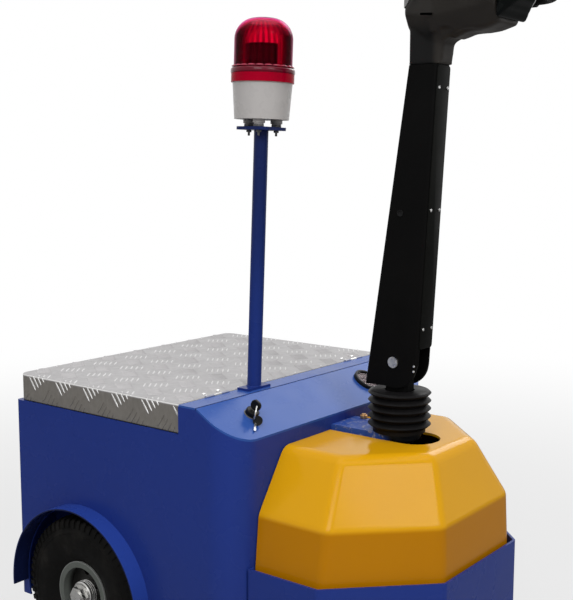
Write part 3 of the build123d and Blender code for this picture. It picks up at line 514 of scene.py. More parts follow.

# The mudguards are blue outside, painted a little paler than the walls as lit from above, and their inner
# face is painted nearly black as shade. The two faces are told apart by their distance from the axle.
tyre_low, tyre_high = corners("tyre_left")
wheel_y = (tyre_low.y + tyre_high.y) / 2
wheel_z = (tyre_low.z + tyre_high.z) / 2
guard_outer_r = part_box("mudguard_left")[1][2] - wheel_z
guard = Finish("mudguard_enamel", 1.45, 0.14)
guard_r = (guard.axis("Z") - wheel_z).reach(guard.axis("Y") - wheel_y)
guard_out = guard.fade(guard_r, guard_outer_r - 0.0012, guard_outer_r - 0.0004)
guard_cloud = guard.noise(12, 4)
guard_inner_painted_shade = guard.blend(guard_cloud, (0.004, 0.007, 0.03), (0.009, 0.015, 0.07))
guard_outer_painted_light = guard.blend(guard_cloud, (0.02, 0.052, 0.29), (0.024, 0.06, 0.33))
guard.feed("Base Color", guard.blend(guard_out, guard_inner_painted_shade, guard_outer_painted_light))
guard.dull(0.2, 0.36, 14, 4)
guard.grain(0.00003, 240, 1)
coat(guard, "mudguard_left", "mudguard_right")

# The rims are pressed steel in grey enamel, painted nearly black inside the dish as shade. A turned sleeve
# with three grooves stands round each axle nut.
wheel_x = 0.262
rim = Finish("rim_enamel", 1.45, 0.3)
rim_r = (rim.axis("Z") - wheel_z).reach(rim.axis("Y") - wheel_y)
rim_out = rim.axis("X").math("ABSOLUTE")
rim_dish_painted_shade = rim.fade(rim_out, wheel_x + 0.014, wheel_x + 0.026, 1, 0)
rim_edge = rim.fade(rim_r, 0.0465, 0.0482, 1, 0) + rim.fade(rim_r, 0.0565, 0.058)
rim_steel = rim.blend(rim.noise(30, 5), (0.088, 0.098, 0.088), (0.135, 0.148, 0.133))
rim_clean = rim.blend(rim_edge, rim_steel, (0.24, 0.25, 0.24))
rim_dish_shade_colour = rim.blend(rim.noise(60, 4), (0.01, 0.01, 0.0095), (0.022, 0.021, 0.019))
rim.feed("Base Color", rim.blend(rim_dish_painted_shade, rim_clean, rim_dish_shade_colour))
rim.dull(0.3, 0.5, 50, 4)
rim.grain(0.00006, 300, 3)
coat(rim, "rim_left", "rim_right")


def pick_all():
    """Selects all of the piece that is open."""
    bpy.ops.mesh.select_all(action="SELECT")


def traced(name, points):
    """Draws a wire through the points, one corner after another, and stays in edit mode."""
    piece = start("plane", name, size=0.01)
    bpy.ops.mesh.select_mode(type="VERT")
    bpy.ops.mesh.merge(type="CENTER")
    bpy.ops.transform.translate(value=points[0])
    for here, there in zip(points, points[1:]):
        bpy.ops.mesh.extrude_vertices_move(TRANSFORM_OT_translate={"value": Vector(there) - Vector(here)})
    return piece


def spun(name, points, steps, centre=(0, 0, 0), axis=(0, 0, 1)):
    """Turns a traced wire all the way round an axis."""
    piece = traced(name, points)
    pick_all()
    bpy.ops.mesh.spin(steps=steps, angle=2 * pi, center=centre, axis=axis)
    pick_all()
    bpy.ops.mesh.remove_doubles(threshold=0.00002)
    bpy.ops.mesh.normals_make_consistent(inside=False)
    closed()
    return piece


sleeve_r, groove_r, groove_pitch = 0.023, 0.0222, 0.0035
# The sleeve's outline, as x from the wheel's middle and radius
sleeve_points = [
    (0.0345, 0.0195), (0.0345, 0.0215), (0.0335, 0.0229), (0.0305, sleeve_r), (0.0298, groove_r)]
for step in range(3):
    x = 0.0285 - groove_pitch * step
    sleeve_points += [(x + 0.0005, groove_r), (x, sleeve_r), (x - 0.0018, sleeve_r), (x - 0.0023, groove_r)]
sleeve_points += [(0.0125, sleeve_r), (0.0125, 0.022), (0.0345, 0.0195)]
wheel_centre = (0, wheel_y, wheel_z)
for side, body in ((1, "wheel_left"), (-1, "wheel_right")):
    points = [(side * (wheel_x + x), wheel_y, wheel_z + r) for x, r in sleeve_points]
    sleeve = spun(body + "_hub_sleeve", points, 48, wheel_centre, (1, 0, 0))
    done(sleeve, zinc, body, 25)

# The rear tyres are small pneumatic ones of black rubber, moulded with three ribs round the middle, short
# bars across each shoulder and two rings on the sidewall.
tread = Finish("tyre_rubber", 1.45, 0.06)
tyre_dust = tread.fade(tread.noise(24, 5, 0.6), 0.45, 0.8)
tread.feed("Base Color", tread.blend(tyre_dust, (0.0062, 0.006, 0.0058), (0.02, 0.0185, 0.0165)))
tread.dull(0.5, 0.7, 60, 4)
tread.grain(0.00012, 500, 2)
# The casing from its inner bead round the tread to its outer bead, as x from the middle and radius
casing = [
    (-0.0285, 0.0509), (-0.0308, 0.0512), (-0.031, 0.0588), (-0.033, 0.0625), (-0.0375, 0.07),
    (-0.0405, 0.079), (-0.0418, 0.09), (-0.042, 0.101), (-0.0413, 0.108), (-0.0421, 0.109),
    (-0.0419, 0.1106), (-0.0408, 0.1116), (-0.0396, 0.119), (-0.0375, 0.1265), (-0.0355, 0.13),
    (-0.0215, 0.1328), (-0.021, 0.1366), (-0.012, 0.1369), (-0.0108, 0.1335), (-0.0052, 0.1335),
    (-0.0045, 0.137)]
casing = casing + [(-x, r) for x, r in reversed(casing)]
# One shoulder bar in the same measures, from the crown down to the sidewall and back
bar_side = [
    (0.0238, 0.131), (0.0238, 0.1363), (0.03, 0.1352), (0.0366, 0.133), (0.0398, 0.127),
    (0.0412, 0.119), (0.0388, 0.118), (0.034, 0.128)]
bars_round = 58
bar_thick = 0.0074
for side, name in ((1, "left"), (-1, "right")):
    body = "wheel_" + name
    points = [(side * wheel_x + x, wheel_y, wheel_z + r) for x, r in casing + casing[:1]]
    tyre = spun("tyre_casing_" + name, points, 72, wheel_centre, (1, 0, 0))
    shoulder_bars = []
    for edge in (-1, 1):
        points = [(side * wheel_x + edge * x, wheel_y - bar_thick / 2, wheel_z + r) for x, r in bar_side]
        bar = traced("shoulder_bar", points)
        pick_all()
        bpy.ops.mesh.edge_face_add()
        pushed((0, bar_thick, 0))
        pick_all()
        bpy.ops.mesh.normals_make_consistent(inside=False)
        bpy.ops.mesh.spin(steps=bars_round - 1, dupli=True, angle=2 * pi * (bars_round - 1) / bars_round,
                          center=wheel_centre, axis=(1, 0, 0))
        closed()
        shoulder_bars.append(bar)
    tyre = joined([tyre] + shoulder_bars, "tyre_tread_" + name)
    done(tyre, tread, body, 40)
    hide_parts("tyre_" + name)

# The drive tread is a solid ring of the same rubber, pressed on its cast wheel. Little of it shows below
# the skirt.
coat(tread, "drive_tread")

# The lid is aluminium tread plate, folded down at its sides and rear. Its raised bars are rolled into the
# sheet in groups of five that lean one way and the other, and the folds run through them.
plate = Finish("tread_plate", 1.45)
lid_low, lid_high = corners("lid")
plate_down = plate.along("Z", lid_high.z - 0.005, lid_high.z - 0.0015, 1, 0)
plate_stain = plate.noise(22, 5, 0.6)
plate_streak = plate.noise(260, 3, 0.6, (1, 0.55, 0.25))
# The walls carry streaks and are painted darker than the top as shade; the rear wall is painted paler as
# light falls on it.
plate_top = plate.blend(plate_stain, (0.335, 0.325, 0.328), (0.465, 0.455, 0.459))
plate_side_streaks_and_shade = plate.blend(plate_streak, (0.17, 0.156, 0.138), (0.27, 0.254, 0.234))
plate_rear_painted_light = plate.along("Y", lid_high.y - 0.011, lid_high.y - 0.003) * 0.8
plate_wall = plate.blend(plate_rear_painted_light, plate_side_streaks_and_shade, (0.52, 0.51, 0.5))
plate_z = plate.axis("Z")
# A black line painted along the foot of the walls stands for the shadow under the lid's edge.
plate_foot_painted_shadow = plate.fade(plate_z, lid_low.z + 0.0012, lid_low.z + 0.002, 1, 0)
plate_wall = plate.blend(plate_foot_painted_shadow, plate_wall, (0.012, 0.012, 0.012))
# A pale band painted along the fold is a painted highlight on the bend.
plate_fold_painted_highlight = plate.fade(plate_z, lid_high.z - 0.003, lid_high.z - 0.002) * plate.fade(
    plate_z, lid_high.z - 0.0008, lid_high.z - 0.0003, 1, 0)
plate_skin = plate.blend(plate_down, plate_top, plate_wall)
plate.feed("Base Color", plate.blend(plate_fold_painted_highlight, plate_skin, (0.8, 0.79, 0.78)))
plate.feed("Metallic", plate.fade(plate_stain, 0.3, 0.7, 0.42, 0.3))
plate.dull(0.36, 0.5, 90, 3)
plate.bump(plate.noise(9, 3) + plate.noise(180, 2) * 0.05, 0.0022)
coat(plate, "lid")
# One leaning family of bars is worn bright and painted paler still as a highlight; the other family keeps
# the plate's colour.
bright_bar = Finish("bar_wear_and_highlight", Metallic=0.25)
bright_bar.tint((0.56, 0.555, 0.555), (0.74, 0.735, 0.73), 60, 3)
bright_bar.dull(0.3, 0.42, 120, 2)
bright_bar.grain(0.00005, 700, 2)
bar_l, bar_w, bar_h = 0.028, 0.0036, 0.0013
bar_gap = 0.0095
bar_turn = radians(36)
group_step_x, group_step_y = 0.079, 0.07
group_y = hinge_line + 0.34
fold_r = 0.0016
right, left, rear = lid_low.x + fold_r, lid_high.x - fold_r, lid_high.y - fold_r
lid_face = lid_high.z - 0.0003


def opened(piece):
    """Opens one piece for editing."""
    take(piece)
    bpy.ops.object.mode_set(mode="EDIT")


def resized(x, y, z):
    """Scales what is selected about its middle."""
    bpy.ops.transform.resize(value=(x, y, z))


def changed(piece, kind, **settings):
    """Adds a modifier to a piece, and applies it."""
    change = piece.modifiers.new("change", kind)
    for setting, value in settings.items():
        setattr(change, setting, value)
    take(piece)
    bpy.ops.object.modifier_apply(modifier="change")


def repeated(piece, count, step):
    """Repeats a piece in a row."""
    changed(piece, "ARRAY", count=count, use_relative_offset=False, use_constant_offset=True,
            constant_offset_displace=step)


def sliced(piece, x, y, way_x, way_y):
    """Cuts off what lies beyond an upright plane, and closes the cut."""
    opened(piece)
    pick_all()
    bpy.ops.mesh.bisect(plane_co=(x, y, 0), plane_no=(way_x, way_y, 0), clear_outer=True, use_fill=True)
    closed()


plate_bars = []
for lean, shift_x, shift_y in ((1, 0, 0), (-1, group_step_x / 2, -group_step_y / 2)):
    bar = start("cylinder", "plate_bar", vertices=12, radius=0.5, depth=1, scale=(bar_l, bar_w, bar_h))
    pick(bar, "FACE", lambda at, normal: normal.z > 0.9)
    resized(0.86, 0.52, 1)
    closed()
    repeated(bar, 5, (0, bar_gap, 0))
    first_x = lid_low.x + shift_x - group_step_x
    first_y = group_y + shift_y + 2 * group_step_y
    group_at = moved(first_x, first_y, lid_face + bar_h / 2)
    bar.matrix_world = group_at @ turned(lean * bar_turn, "Z") @ moved(0, -2 * bar_gap, 0)
    bpy.ops.object.transform_apply()
    repeated(bar, 10, (group_step_x, 0, 0))
    repeated(bar, 8, (0, -group_step_y, 0))
    plate_bars.append(bar)
front_end = lid_low.y + 0.002
skirt_h = lid_high.z - lid_low.z - 0.002
rear_round = 0.02
corner_in = rear_round * (2 - 2 ** 0.5) / 2
front_cut = (0, front_end, 0, -1)
side_end = (0, rear - rear_round, 0, 1)
# Columns: name, the planes that bound it as x, y and the way out, and the fold that it is turned down about
areas = (
    ("top", (
        (right, 0, -1, 0), (left, 0, 1, 0), (0, rear, 0, 1), front_cut,
        (left - corner_in, rear - corner_in, 1, 1), (right + corner_in, rear - corner_in, -1, 1)), None),
    ("right", ((right, 0, 1, 0), (right - skirt_h, 0, -1, 0), side_end, front_cut), ("Y", (right, 0), -1)),
    ("left", ((left, 0, -1, 0), (left + skirt_h, 0, 1, 0), side_end, front_cut), ("Y", (left, 0), 1)),
    ("rear", (
        (0, rear, 0, -1), (0, rear + skirt_h, 0, 1),
        (right + rear_round, 0, -1, 0), (left - rear_round, 0, 1, 0)), ("X", (0, rear), -1)),
)
bar_kinds = [
    (area, bars, finish, ending)
    for area in areas
    for bars, finish, ending in zip(plate_bars, (bright_bar, plate), ("", "_plain"))]
for (name, planes, fold), bars, finish, ending in bar_kinds:
    part = copied(bars, Matrix())
    part.name = "lid_bars_" + name + ending
    for plane in planes:
        sliced(part, *plane)
    if fold is not None:
        letter, (x, y), way = fold
        fold_at = moved(x, y, lid_high.z - fold_r)
        part.matrix_world = fold_at @ turned(way * pi / 2, letter) @ fold_at.inverted()
    done(part, finish, "lid", 40)
for bars in plate_bars:
    bpy.data.objects.remove(bars)


# Each hinge is riveted to the lid with two flat-headed aluminium rivets, and welded to the ledge. The
# rivets turn with the lid.
def half_ball(name, r, wide, high):
    """Makes the upper half of a ball, narrower in X and lower in Z."""
    piece = start("uv_sphere", name, segments=20, ring_count=10, radius=r)
    bpy.ops.mesh.bisect(plane_co=(0, 0, 0), plane_no=(0, 0, -1), clear_outer=True, use_fill=True)
    pick_all()
    resized(wide, 1, high)
    closed()
    return piece


rivet = half_ball("rivet", 0.0034, 1, 0.62)
rivet_cap = Finish("bright_rivet", Metallic=0.75)
rivet_cap.tint((0.72, 0.72, 0.72), (0.88, 0.88, 0.87), 200)
rivet_cap.dull(0.2, 0.35, 300)
hinge_xs = (-0.1915, 0.2005)
rivet_half, rivet_back = 0.0172, 0.018
rivet_places = [
    (x + side * rivet_half, hinge_line + rivet_back, lid_high.z)
    for x in hinge_xs for side in (-1, 1)]
done(scattered(rivet, rivet_places, "lid_rivets"), rivet_cap, "lid")

# The hood over the motor is moulded in yellow plastic with a wet gloss. Below the step that runs round it,
# the yellow is painted deeper as shade, where less light falls.
yellow = Finish("yellow_hood", 1.5, 0.12)
yellow_up = yellow.blend(yellow.noise(5, 3), (0.715, 0.343, 0.003), (0.775, 0.383, 0.005))
yellow_low_painted_shade = yellow.blend(yellow.noise(7, 3), (0.49, 0.188, 0.001), (0.55, 0.218, 0.0014))
yellow.feed("Base Color", yellow.blend(yellow.along("Z", 0.329, 0.338), yellow_low_painted_shade, yellow_up))
yellow.dull(0.1, 0.18, 20, 3)
yellow.grain(0.0003, 24, 2)
coat(yellow, "motor_cover")

# The tiller head, thumb paddles, key switch and gauge case are black plastic, moulded with a fine
# texture. The head's corners are rounded off, and its neck is painted darker as shade.
moulded = Finish("moulded_plastic", 1.45, 0.16)
moulded_neck_painted_shade = moulded.along("Z", 1.07, 1.1, 1, 0) * moulded.fade(
    moulded.axis("Y"), -0.3125, -0.301)
moulded_clear = moulded.blend(moulded.noise(9, 2), (0.0255, 0.0225, 0.0198), (0.0335, 0.03, 0.0265))
moulded.feed("Base Color", moulded.blend(moulded_neck_painted_shade, moulded_clear, (0.005, 0.005, 0.0052)))
moulded.dull(0.38, 0.5, 40, 2)
moulded.grain(0.00004, 1500, 1)
coat(moulded, "tiller_head", "thumb_paddles", "key_switch", "gauge")


def softened(node, name, cell, passes, reshape=None, sharp_below=0):
    """A copy of a CAD node with its corners rounded off, as a moulding's are, but for its foot."""
    piece = copied(nodes[node], nodes[node].matrix_world)
    piece.name = name
    opened(piece)
    pick_all()
    bpy.ops.mesh.remove_doubles(threshold=0.00005)
    if reshape is not None:
        reshape(piece)
    closed()
    changed(piece, "REMESH", mode="VOXEL", voxel_size=cell)
    opened(piece)
    pick(piece, "VERT", lambda at: at.z > sharp_below)
    bpy.ops.object.vertex_group_assign_new()
    closed()
    changed(piece, "SMOOTH", vertex_group=piece.vertex_groups[0].name, factor=0.5, iterations=passes)
    return piece


def raise_chin(piece):
    """Lifts the pod's underside where it meets the neck, and leans the neck's front forward."""
    pick(piece, "VERT", lambda at: -0.335 < at.y < -0.3 and 1.044 < at.z < 1.07)
    bpy.ops.transform.translate(value=(0, -0.0045, 0.0075))


def pulled(piece, test, way, reach):
    """Pulls the part of a piece that passes the test, and what is near it, by a smooth fall-off."""
    opened(piece)
    pick(piece, "VERT", test)
    bpy.ops.transform.translate(value=way, use_proportional_edit=True, proportional_edit_falloff="SMOOTH",
                                proportional_size=reach)
    closed()


arm_top = 1.0305
head_shell = softened("tiller_head", "head_shell", 0.0022, 16, raise_chin, arm_top)
pulled(head_shell, lambda at: -0.356 < at.y < -0.338 and at.z < 1.068, (0, 0, 0.006), 0.03)
pulled(head_shell, lambda at: at.y < -0.402 and at.z < 1.092, (0, 0, -0.0045), 0.032)
done(head_shell, moulded, "tiller", 60)
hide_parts("tiller_head")

# A dark slot shows on each side of the head, behind the handle loop. It is a thin tablet with a sunk face,
# set on the surface.
slot_l, slot_w, slot_t = 0.0205, 0.0034, 0.0012
slot = brick("head_slot", (slot_l, slot_w, slot_t))
pick(slot, "EDGE", lambda at: abs(at.x) > 0.49 * slot_l and abs(at.y) > 0.48 * slot_w)
bevelled(0.0016, 4)
sunk(slot, 0.0006, -0.0008)
closed()
slot_dark = Finish("slot_shadow", 1.45, 0)
slot_dark.tint((0.0015, 0.0015, 0.0015), (0.003, 0.003, 0.003), 90)
slot_dark.dull(0.7, 0.8, 90)


def on_side(side, x, y, z):
    """A place on the tiller's left or right, with the local Z outwards."""
    return moved(side * x, y, z) @ turned(side * pi / 2, "Y")


slot_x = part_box("tiller_head")[1][0] + 0.0002
slot_y, slot_z = -0.3072, 1.0988
slot_lean = 0.07
slot_places = [
    on_side(side, slot_x, slot_y, slot_z) @ turned(pi / 2 - slot_lean, "Z") for side in (-1, 1)]
done(scattered(slot, slot_places, "head_slots"), slot_dark, "tiller")

# The stop button on the pod's nose is the same black, polished. It is rounded to one bulge, with its
# lower front edge drawn in.
polished = Finish("polished_black", 1.5, 0.03)
polished.tint((0.0035, 0.0045, 0.0045), (0.006, 0.007, 0.007), 20)
polished.dull(0.05, 0.1, 30)
polished.grain(0.0001, 60, 1)
nose_cap = softened("stop_button", "nose_cap", 0.0018, 40)
pulled(nose_cap, lambda at: at.y < -0.44 and at.z < 1.096, (0, 0.007, 0.007), 0.024)
done(nose_cap, polished, "tiller", 60)
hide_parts("stop_button")

# The grey cover on the head is a paler moulding with the same fine texture. It keeps the solid's own
# shape.
grey_cover = Finish("grey_cover", 1.45, 0.25)
grey_cover.tint((0.4, 0.4, 0.395), (0.48, 0.48, 0.475), 9)
grey_cover.dull(0.4, 0.52, 40)
grey_cover.grain(0.00004, 1500, 1)
coat(grey_cover, "head_cover")

# The bellows is a soft black rubber sleeve with five round pleats. It stands on the bracket and closes round
# the steering column.
rubber = Finish("black_rubber", 1.45, 0.07)
rubber.tint((0.0048, 0.0046, 0.005), (0.0098, 0.0092, 0.0096), 16, 4)
rubber.dull(0.34, 0.5, 30, 4)
rubber.grain(0.00006, 600, 2)
coat(rubber, "handle_grips", "bellows")
steer_y = -0.24325
bellows_low, bellows_high = corners("bellows")
pleats, pleat_steps = 5, 8
pleat_pitch = 0.013
pleat_root, pleat_ridge, roundness = 0.0432, 0.0518, 0.75
last_pleat = bellows_high.z - 0.0004
first_root = last_pleat - pleats * pleat_pitch + 0.0028
inner_r, collar_r = 0.04, 0.0245
# The sleeve's outline, as radius and z
sleeve = [(inner_r, bellows_low.z), (pleat_root, bellows_low.z), (pleat_root, first_root)]
for index in range(pleats):
    for step in range(1, pleat_steps + 1):
        swell = (1 - abs(2 * step / pleat_steps - 1)) ** roundness
        z = first_root + pleat_pitch * (index + step / pleat_steps)
        if z < last_pleat:
            sleeve.append((pleat_root + (pleat_ridge - pleat_root) * swell, z))
for r, under_top in ((0.044, 0.0001), (collar_r, 0), (collar_r, 0.003), (inner_r, 0.004)):
    sleeve.append((r, bellows_high.z - under_top))
sleeve.append(sleeve[0])
points = [(r, steer_y, z) for r, z in sleeve]
bellows = spun("pleated_sleeve", points, 64, (0, steer_y, 0))
done(bellows, rubber, "drive_unit", 50)
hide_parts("bellows")

# The arm's front is closed by a long strip of sheet, held by three pairs of cross-head screws. A blanked
# hole shows on each side of the arm, and two small screws at the foot of each cheek.
arm_foot = Vector((0, -0.0445, 0.558))
arm_head = Vector((0, -0.0695, 1.028))
strip_from, strip_to = 0.583, 1.0265
strip_w, strip_t = 0.0385, 0.0014


def on_front(x, z, out=0):
    """The place on the arm's front face at a height, with the local Z square to it."""
    along = (z - arm_foot.z) / (arm_head.z - arm_foot.z)
    point = arm_foot.lerp(arm_head, along) + Vector((x, steer_y, 0))
    slope = arm_head - arm_foot
    lean_angle = atan2(-slope.y, slope.z)
    facing = turned(pi / 2 + lean_angle, "X")
    return moved(*point) @ facing @ moved(0, 0, out)


strip_l = (strip_to - strip_from) * (arm_head - arm_foot).length / (arm_head.z - arm_foot.z)
strip = brick("arm_front_strip", (strip_w, strip_l, strip_t))
pick(strip, "EDGE", lambda at: abs(at.x) > 0.4 * strip_w and abs(at.y) > 0.45 * strip_l)
bevelled(0.005, 4)
rounded(0.0004)
strip.matrix_world = on_front(0, (strip_from + strip_to) / 2, strip_t / 2)
strip_black = Finish("strip_enamel", 1.45, 0.04)
strip_black.tint((0.0042, 0.0044, 0.004), (0.0078, 0.008, 0.0072), 18, 4)
strip_black.dull(0.3, 0.42, 40, 3)
strip_black.grain(0.00005, 500, 2)
done(strip, strip_black, "tiller")


def screw_head(name, r, h):
    """A pan head with a small round pit sunk in its top, standing on the origin."""
    piece = disc(name, 24, r, h, h / 2)
    pick(piece, "EDGE", lambda at: at.z > h - 1e-6)
    bevelled(0.35 * h, 3)
    pick(piece, "FACE", lambda at, normal: normal.z > 0.99 and at.z > 0.9 * h)
    bpy.ops.mesh.inset(thickness=0.35 * r)
    pushed((0, 0, -0.4 * h))
    resized(0.35, 0.35, 1)
    closed()
    return piece


steel = Finish("bright_steel", Metallic=0.9)
steel.tint((0.44, 0.44, 0.44), (0.64, 0.64, 0.63), 200)
steel.dull(0.18, 0.34, 300)
steel.grain(0.00002, 900)
strip_screw = screw_head("strip_screw", 0.0026, 0.0016)
screw_x = 0.0132
screw_places = [on_front(side * screw_x, z, strip_t) for z in (0.6155, 0.8046, 0.9928) for side in (-1, 1)]
done(scattered(strip_screw, screw_places, "strip_screws"), steel, "tiller")
arm_half_w = 0.021
plug_y, plug_z, plug_out = -0.2519, 0.7988, 0.0006
plug = disc("hole_plug", 28, 0.0055, 0.0016)
sunk(plug, 0.0014, -0.0009)
rounded(0.0003)
plug_places = [on_side(side, arm_half_w + plug_out, plug_y, plug_z) for side in (-1, 1)]
done(scattered(plug, plug_places, "hole_plugs"), moulded, "tiller")
cheek_screw = screw_head("cheek_screw", 0.002, 0.0013)
cheek_spots = ((-0.282, 0.5555), (-0.2815, 0.547))
cheek_places = [on_side(side, arm_half_w, y, z) for side in (-1, 1) for y, z in cheek_spots]
done(scattered(cheek_screw, cheek_places, "cheek_screws"), steel, "tiller")

# A brass hexagon screw closes the bracket's grease hole beside the bellows. The middle of its head
# stands up.
brass = Finish("brass", Metallic=0.85)
brass.tint((0.6, 0.33, 0.13), (0.72, 0.43, 0.2), 150)
brass.dull(0.25, 0.4, 200)
brass.grain(0.00003, 800)
bracket_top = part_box("column_bracket")[1][2]
grease_x, grease_y, grease_h = 0.0312, -0.153, 0.006
grease_screw = disc("grease_screw", 6, 0.0068, grease_h)
sunk(grease_screw, 0.0022, 0.0022)
rounded(0.0005)
grease_screw.location = (grease_x, grease_y, bracket_top + grease_h / 2)
done(grease_screw, brass)

# The beacon on the pole is a red clear dome on an opaque red ring and a warm white base. Inside stand a
# silvered reflector, open on one side, and a clear bulb.
beacon_foot = Vector((-0.1195, -0.03225, 0.504))
lean = Matrix.Rotation(radians(1.7), 4, Vector((0.79, 0.613, 0)))


def on_pole(x, y, z):
    """A place on the leaning pole, counted from the middle of its foot."""
    return moved(*beacon_foot) @ lean @ moved(x, y, z)


dome_mid = on_pole(0, 0, 0.55).translation
lens = Finish("red_lens", 1.05, Transmission_Weight=1, Coat_Roughness=0.08)
lens_up = lens.along("Z", 1.078, 1.106, 1, 0)
lens_edge = lens.fade(lens.node("LayerWeight", out="Facing"), 0.07, 0.4) * lens_up
lens_clear = lens.blend(lens.noise(30), (0.88, 0, 0.26), (0.94, 0, 0.3))
lens.feed("Base Color", lens.blend(lens_edge, lens_clear, (0.2, 0.026, 0.07)))
lens.dull(0.02, 0.06, 60)
lens.feed("Coat Weight", lens.along("Z", 1.084, 1.106, 0.02, 0.35))
lens.grain(0.0001, 120)
coat(lens, "beacon_lens")
ring_red = Finish("red_ring", 1.5, 0.03)
ring_red.tint((0.34, 0.0002, 0.015), (0.41, 0.0004, 0.019), 30)
ring_red.dull(0.15, 0.25, 60)
ring_red.grain(0.00005, 200)
coat(ring_red, "beacon_ring")
housing = Finish("white_base", 1.48, 0.3)
housing.tint((0.46, 0.44, 0.43), (0.52, 0.5, 0.49), 20)
housing.dull(0.25, 0.35, 60)
housing.grain(0.00004, 300)
coat(housing, "beacon_base")
# The reflector is painted dark red as shade close round the axis, and silver further out.
mirror = Finish("lamp_reflector")
mirror_r = (mirror.axis("X") - dome_mid.x).reach(mirror.axis("Y") - dome_mid.y)
mirror_inner_painted_shade = mirror.fade(mirror_r, 0.0278, 0.0286, 1, 0)
mirror_silver = mirror.blend(mirror.noise(40), (0.55, 0.55, 0.55), (0.75, 0.75, 0.75))
mirror.feed("Base Color", mirror.blend(mirror_inner_painted_shade, (0.03, 0.012, 0.014), mirror_silver))
mirror.feed("Metallic", mirror_inner_painted_shade * 0.5)
mirror.dull(0.06, 0.14, 50)
coat(mirror, "beacon_reflector")
bulb_glass = Finish("bulb_glass", 1.45, Roughness=0.02, Transmission_Weight=0.8)
bulb_glass.tint((0.85, 0.83, 0.78), (0.95, 0.93, 0.9), 40)
coat(bulb_glass, "beacon_bulb")

# The dome has upright flutes inside, drawn as a thin inner lens of their own. The flutes follow the
# dome's shoulder inwards.
flute_r, flute_depth = 0.0425, 0.0016
flutes = 28
fluted = start("circle", "dome_flutes", vertices=4 * flutes, radius=flute_r, fill_type="NOTHING")
pick(fluted, "VERT", lambda at: cos(flutes * atan2(at.y, at.x)) > 0.9)
resized(1 - flute_depth / flute_r, 1 - flute_depth / flute_r, 1)
pick_all()
pushed((0, 0, 0.047))
turn_r, turn_from = 0.029, 0.0135
turn_step = 14
for step in range(5):
    low, high = radians(turn_step * step), radians(turn_step * (step + 1))
    rise = turn_r * (sin(high) - sin(low))
    narrower = (turn_from + turn_r * cos(high)) / (turn_from + turn_r * cos(low))
    pushed((0, 0, rise))
    resized(narrower, narrower, 1)
closed()
changed(fluted, "SOLIDIFY", thickness=0.0012)
fluted.matrix_world = on_pole(0, 0, 0.5205)
flute = Finish("inner_lens", 1.12, Transmission_Weight=1)
flute_turn = (flute.axis("Y") - dome_mid.y).math("ARCTAN2", flute.axis("X") - dome_mid.x)
# Pale and dark streaks are painted round the flutes, as the light that they bend and the shade between.
flute_painted_streaks = flute.fade((flute_turn * flutes).math("COSINE"), -0.6, 0.8)
flute.feed("Base Color", flute.blend(flute_painted_streaks, (0.86, 0.36, 0.56), (0.56, 0.05, 0.2)))
flute.dull(0.05, 0.12, 60)
done(fluted, flute, smooth=60)

# The dome's rim is a dark red flange that reaches down over the ring. Small scallops stand round its top.
# Its outline is given as radius and height up the pole.
flange_points = [
    (0.0476, 0.5245), (0.0488, 0.5243), (0.0506, 0.5232), (0.0517, 0.5212), (0.0519, 0.517),
    (0.0514, 0.5152), (0.0505, 0.515), (0.0505, 0.5205), (0.0476, 0.5212), (0.0476, 0.5245)]
dome_flange = spun("dome_flange", [(r, 0, z) for r, z in flange_points], 64)
dome_flange.matrix_world = on_pole(0, 0, 0)
flange_red = Finish("dark_red", 1.48, 0.2)
flange_red.tint((0.1, 0.001, 0.01), (0.15, 0.002, 0.015), 40)
flange_red.dull(0.12, 0.22, 60)
done(dome_flange, flange_red, smooth=50)
scallop = half_ball("scallop", 0.0066, 0.4, 0.34)
scallop_count = 22
scallop_r, scallop_z = 0.048, 0.5235
scallop_places = [
    on_pole(0, 0, scallop_z) @ turned(2 * pi * i / scallop_count, "Z") @ moved(scallop_r, 0, 0)
    for i in range(scallop_count)]
scallops = scattered(scallop, scallop_places, "dome_scallops")
# The scallops are painted pink, paler than the ring, as a painted highlight along the dome's foot.
scallop_painted_highlight = Finish("scallop_red", 1.48, 0.3)
scallop_painted_highlight.tint((0.3, 0.02, 0.05), (0.42, 0.05, 0.09), 50)
scallop_painted_highlight.dull(0.12, 0.22, 60)
done(scallops, scallop_painted_highlight)

# The base stands on three round pads, each on a large nut on the plate. A bolt goes down through each,
# and ends in a small nut below the plate.
pad = disc("base_pad", 28, 0.0098, 0.006)
pick(pad, "FACE", lambda at, normal: normal.z < -0.9)
bpy.ops.mesh.inset(thickness=0.002)
pushed((0, 0, -0.0022))
rounded(0.0006)
foot_pcr = 0.026
foot_angles = [radians(90 + 120 * i) for i in range(3)]
plate_low, plate_high = 0.426, 0.431


def at_feet(z):
    """The places of the three feet round the pole, at a height."""
    return [on_pole(foot_pcr * cos(a), foot_pcr * sin(a), z) for a in foot_angles]


done(scattered(pad, at_feet(plate_high + 0.0088), "base_pads"), housing)
bolt_l, plate_nut_h, top_nut_h = 0.009, 0.0034, 0.0042
bolt_end = disc("bolt_end", 16, 0.0019, bolt_l, -bolt_l / 2)
pick(bolt_end, "EDGE", lambda at: at.z < -0.99 * bolt_l)
bevelled(0.0006, 2)
closed()
plate_nut = disc("plate_nut", 6, 0.0046, plate_nut_h, -plate_nut_h / 2)
rounded(0.0004)
plate_bolt = joined([bolt_end, plate_nut], "plate_bolt")
done(scattered(plate_bolt, at_feet(plate_low), "plate_bolts"), iron)
top_nut = disc("top_nut", 6, 0.0088, top_nut_h, top_nut_h / 2)
rounded(0.0006)
done(scattered(top_nut, at_feet(plate_high), "foot_nuts"), iron)


# The pole is welded to the ledge all round. The weld is a low, uneven bead, small enough to clear the
# lid when it is open.
def torus(name, r, thick, sides):
    """Starts a ring that lies flat."""
    return start("torus", name, major_radius=r, minor_radius=thick, major_segments=48, minor_segments=sides)


weld = torus("pole_weld", 0.0118, 0.0011, 10)
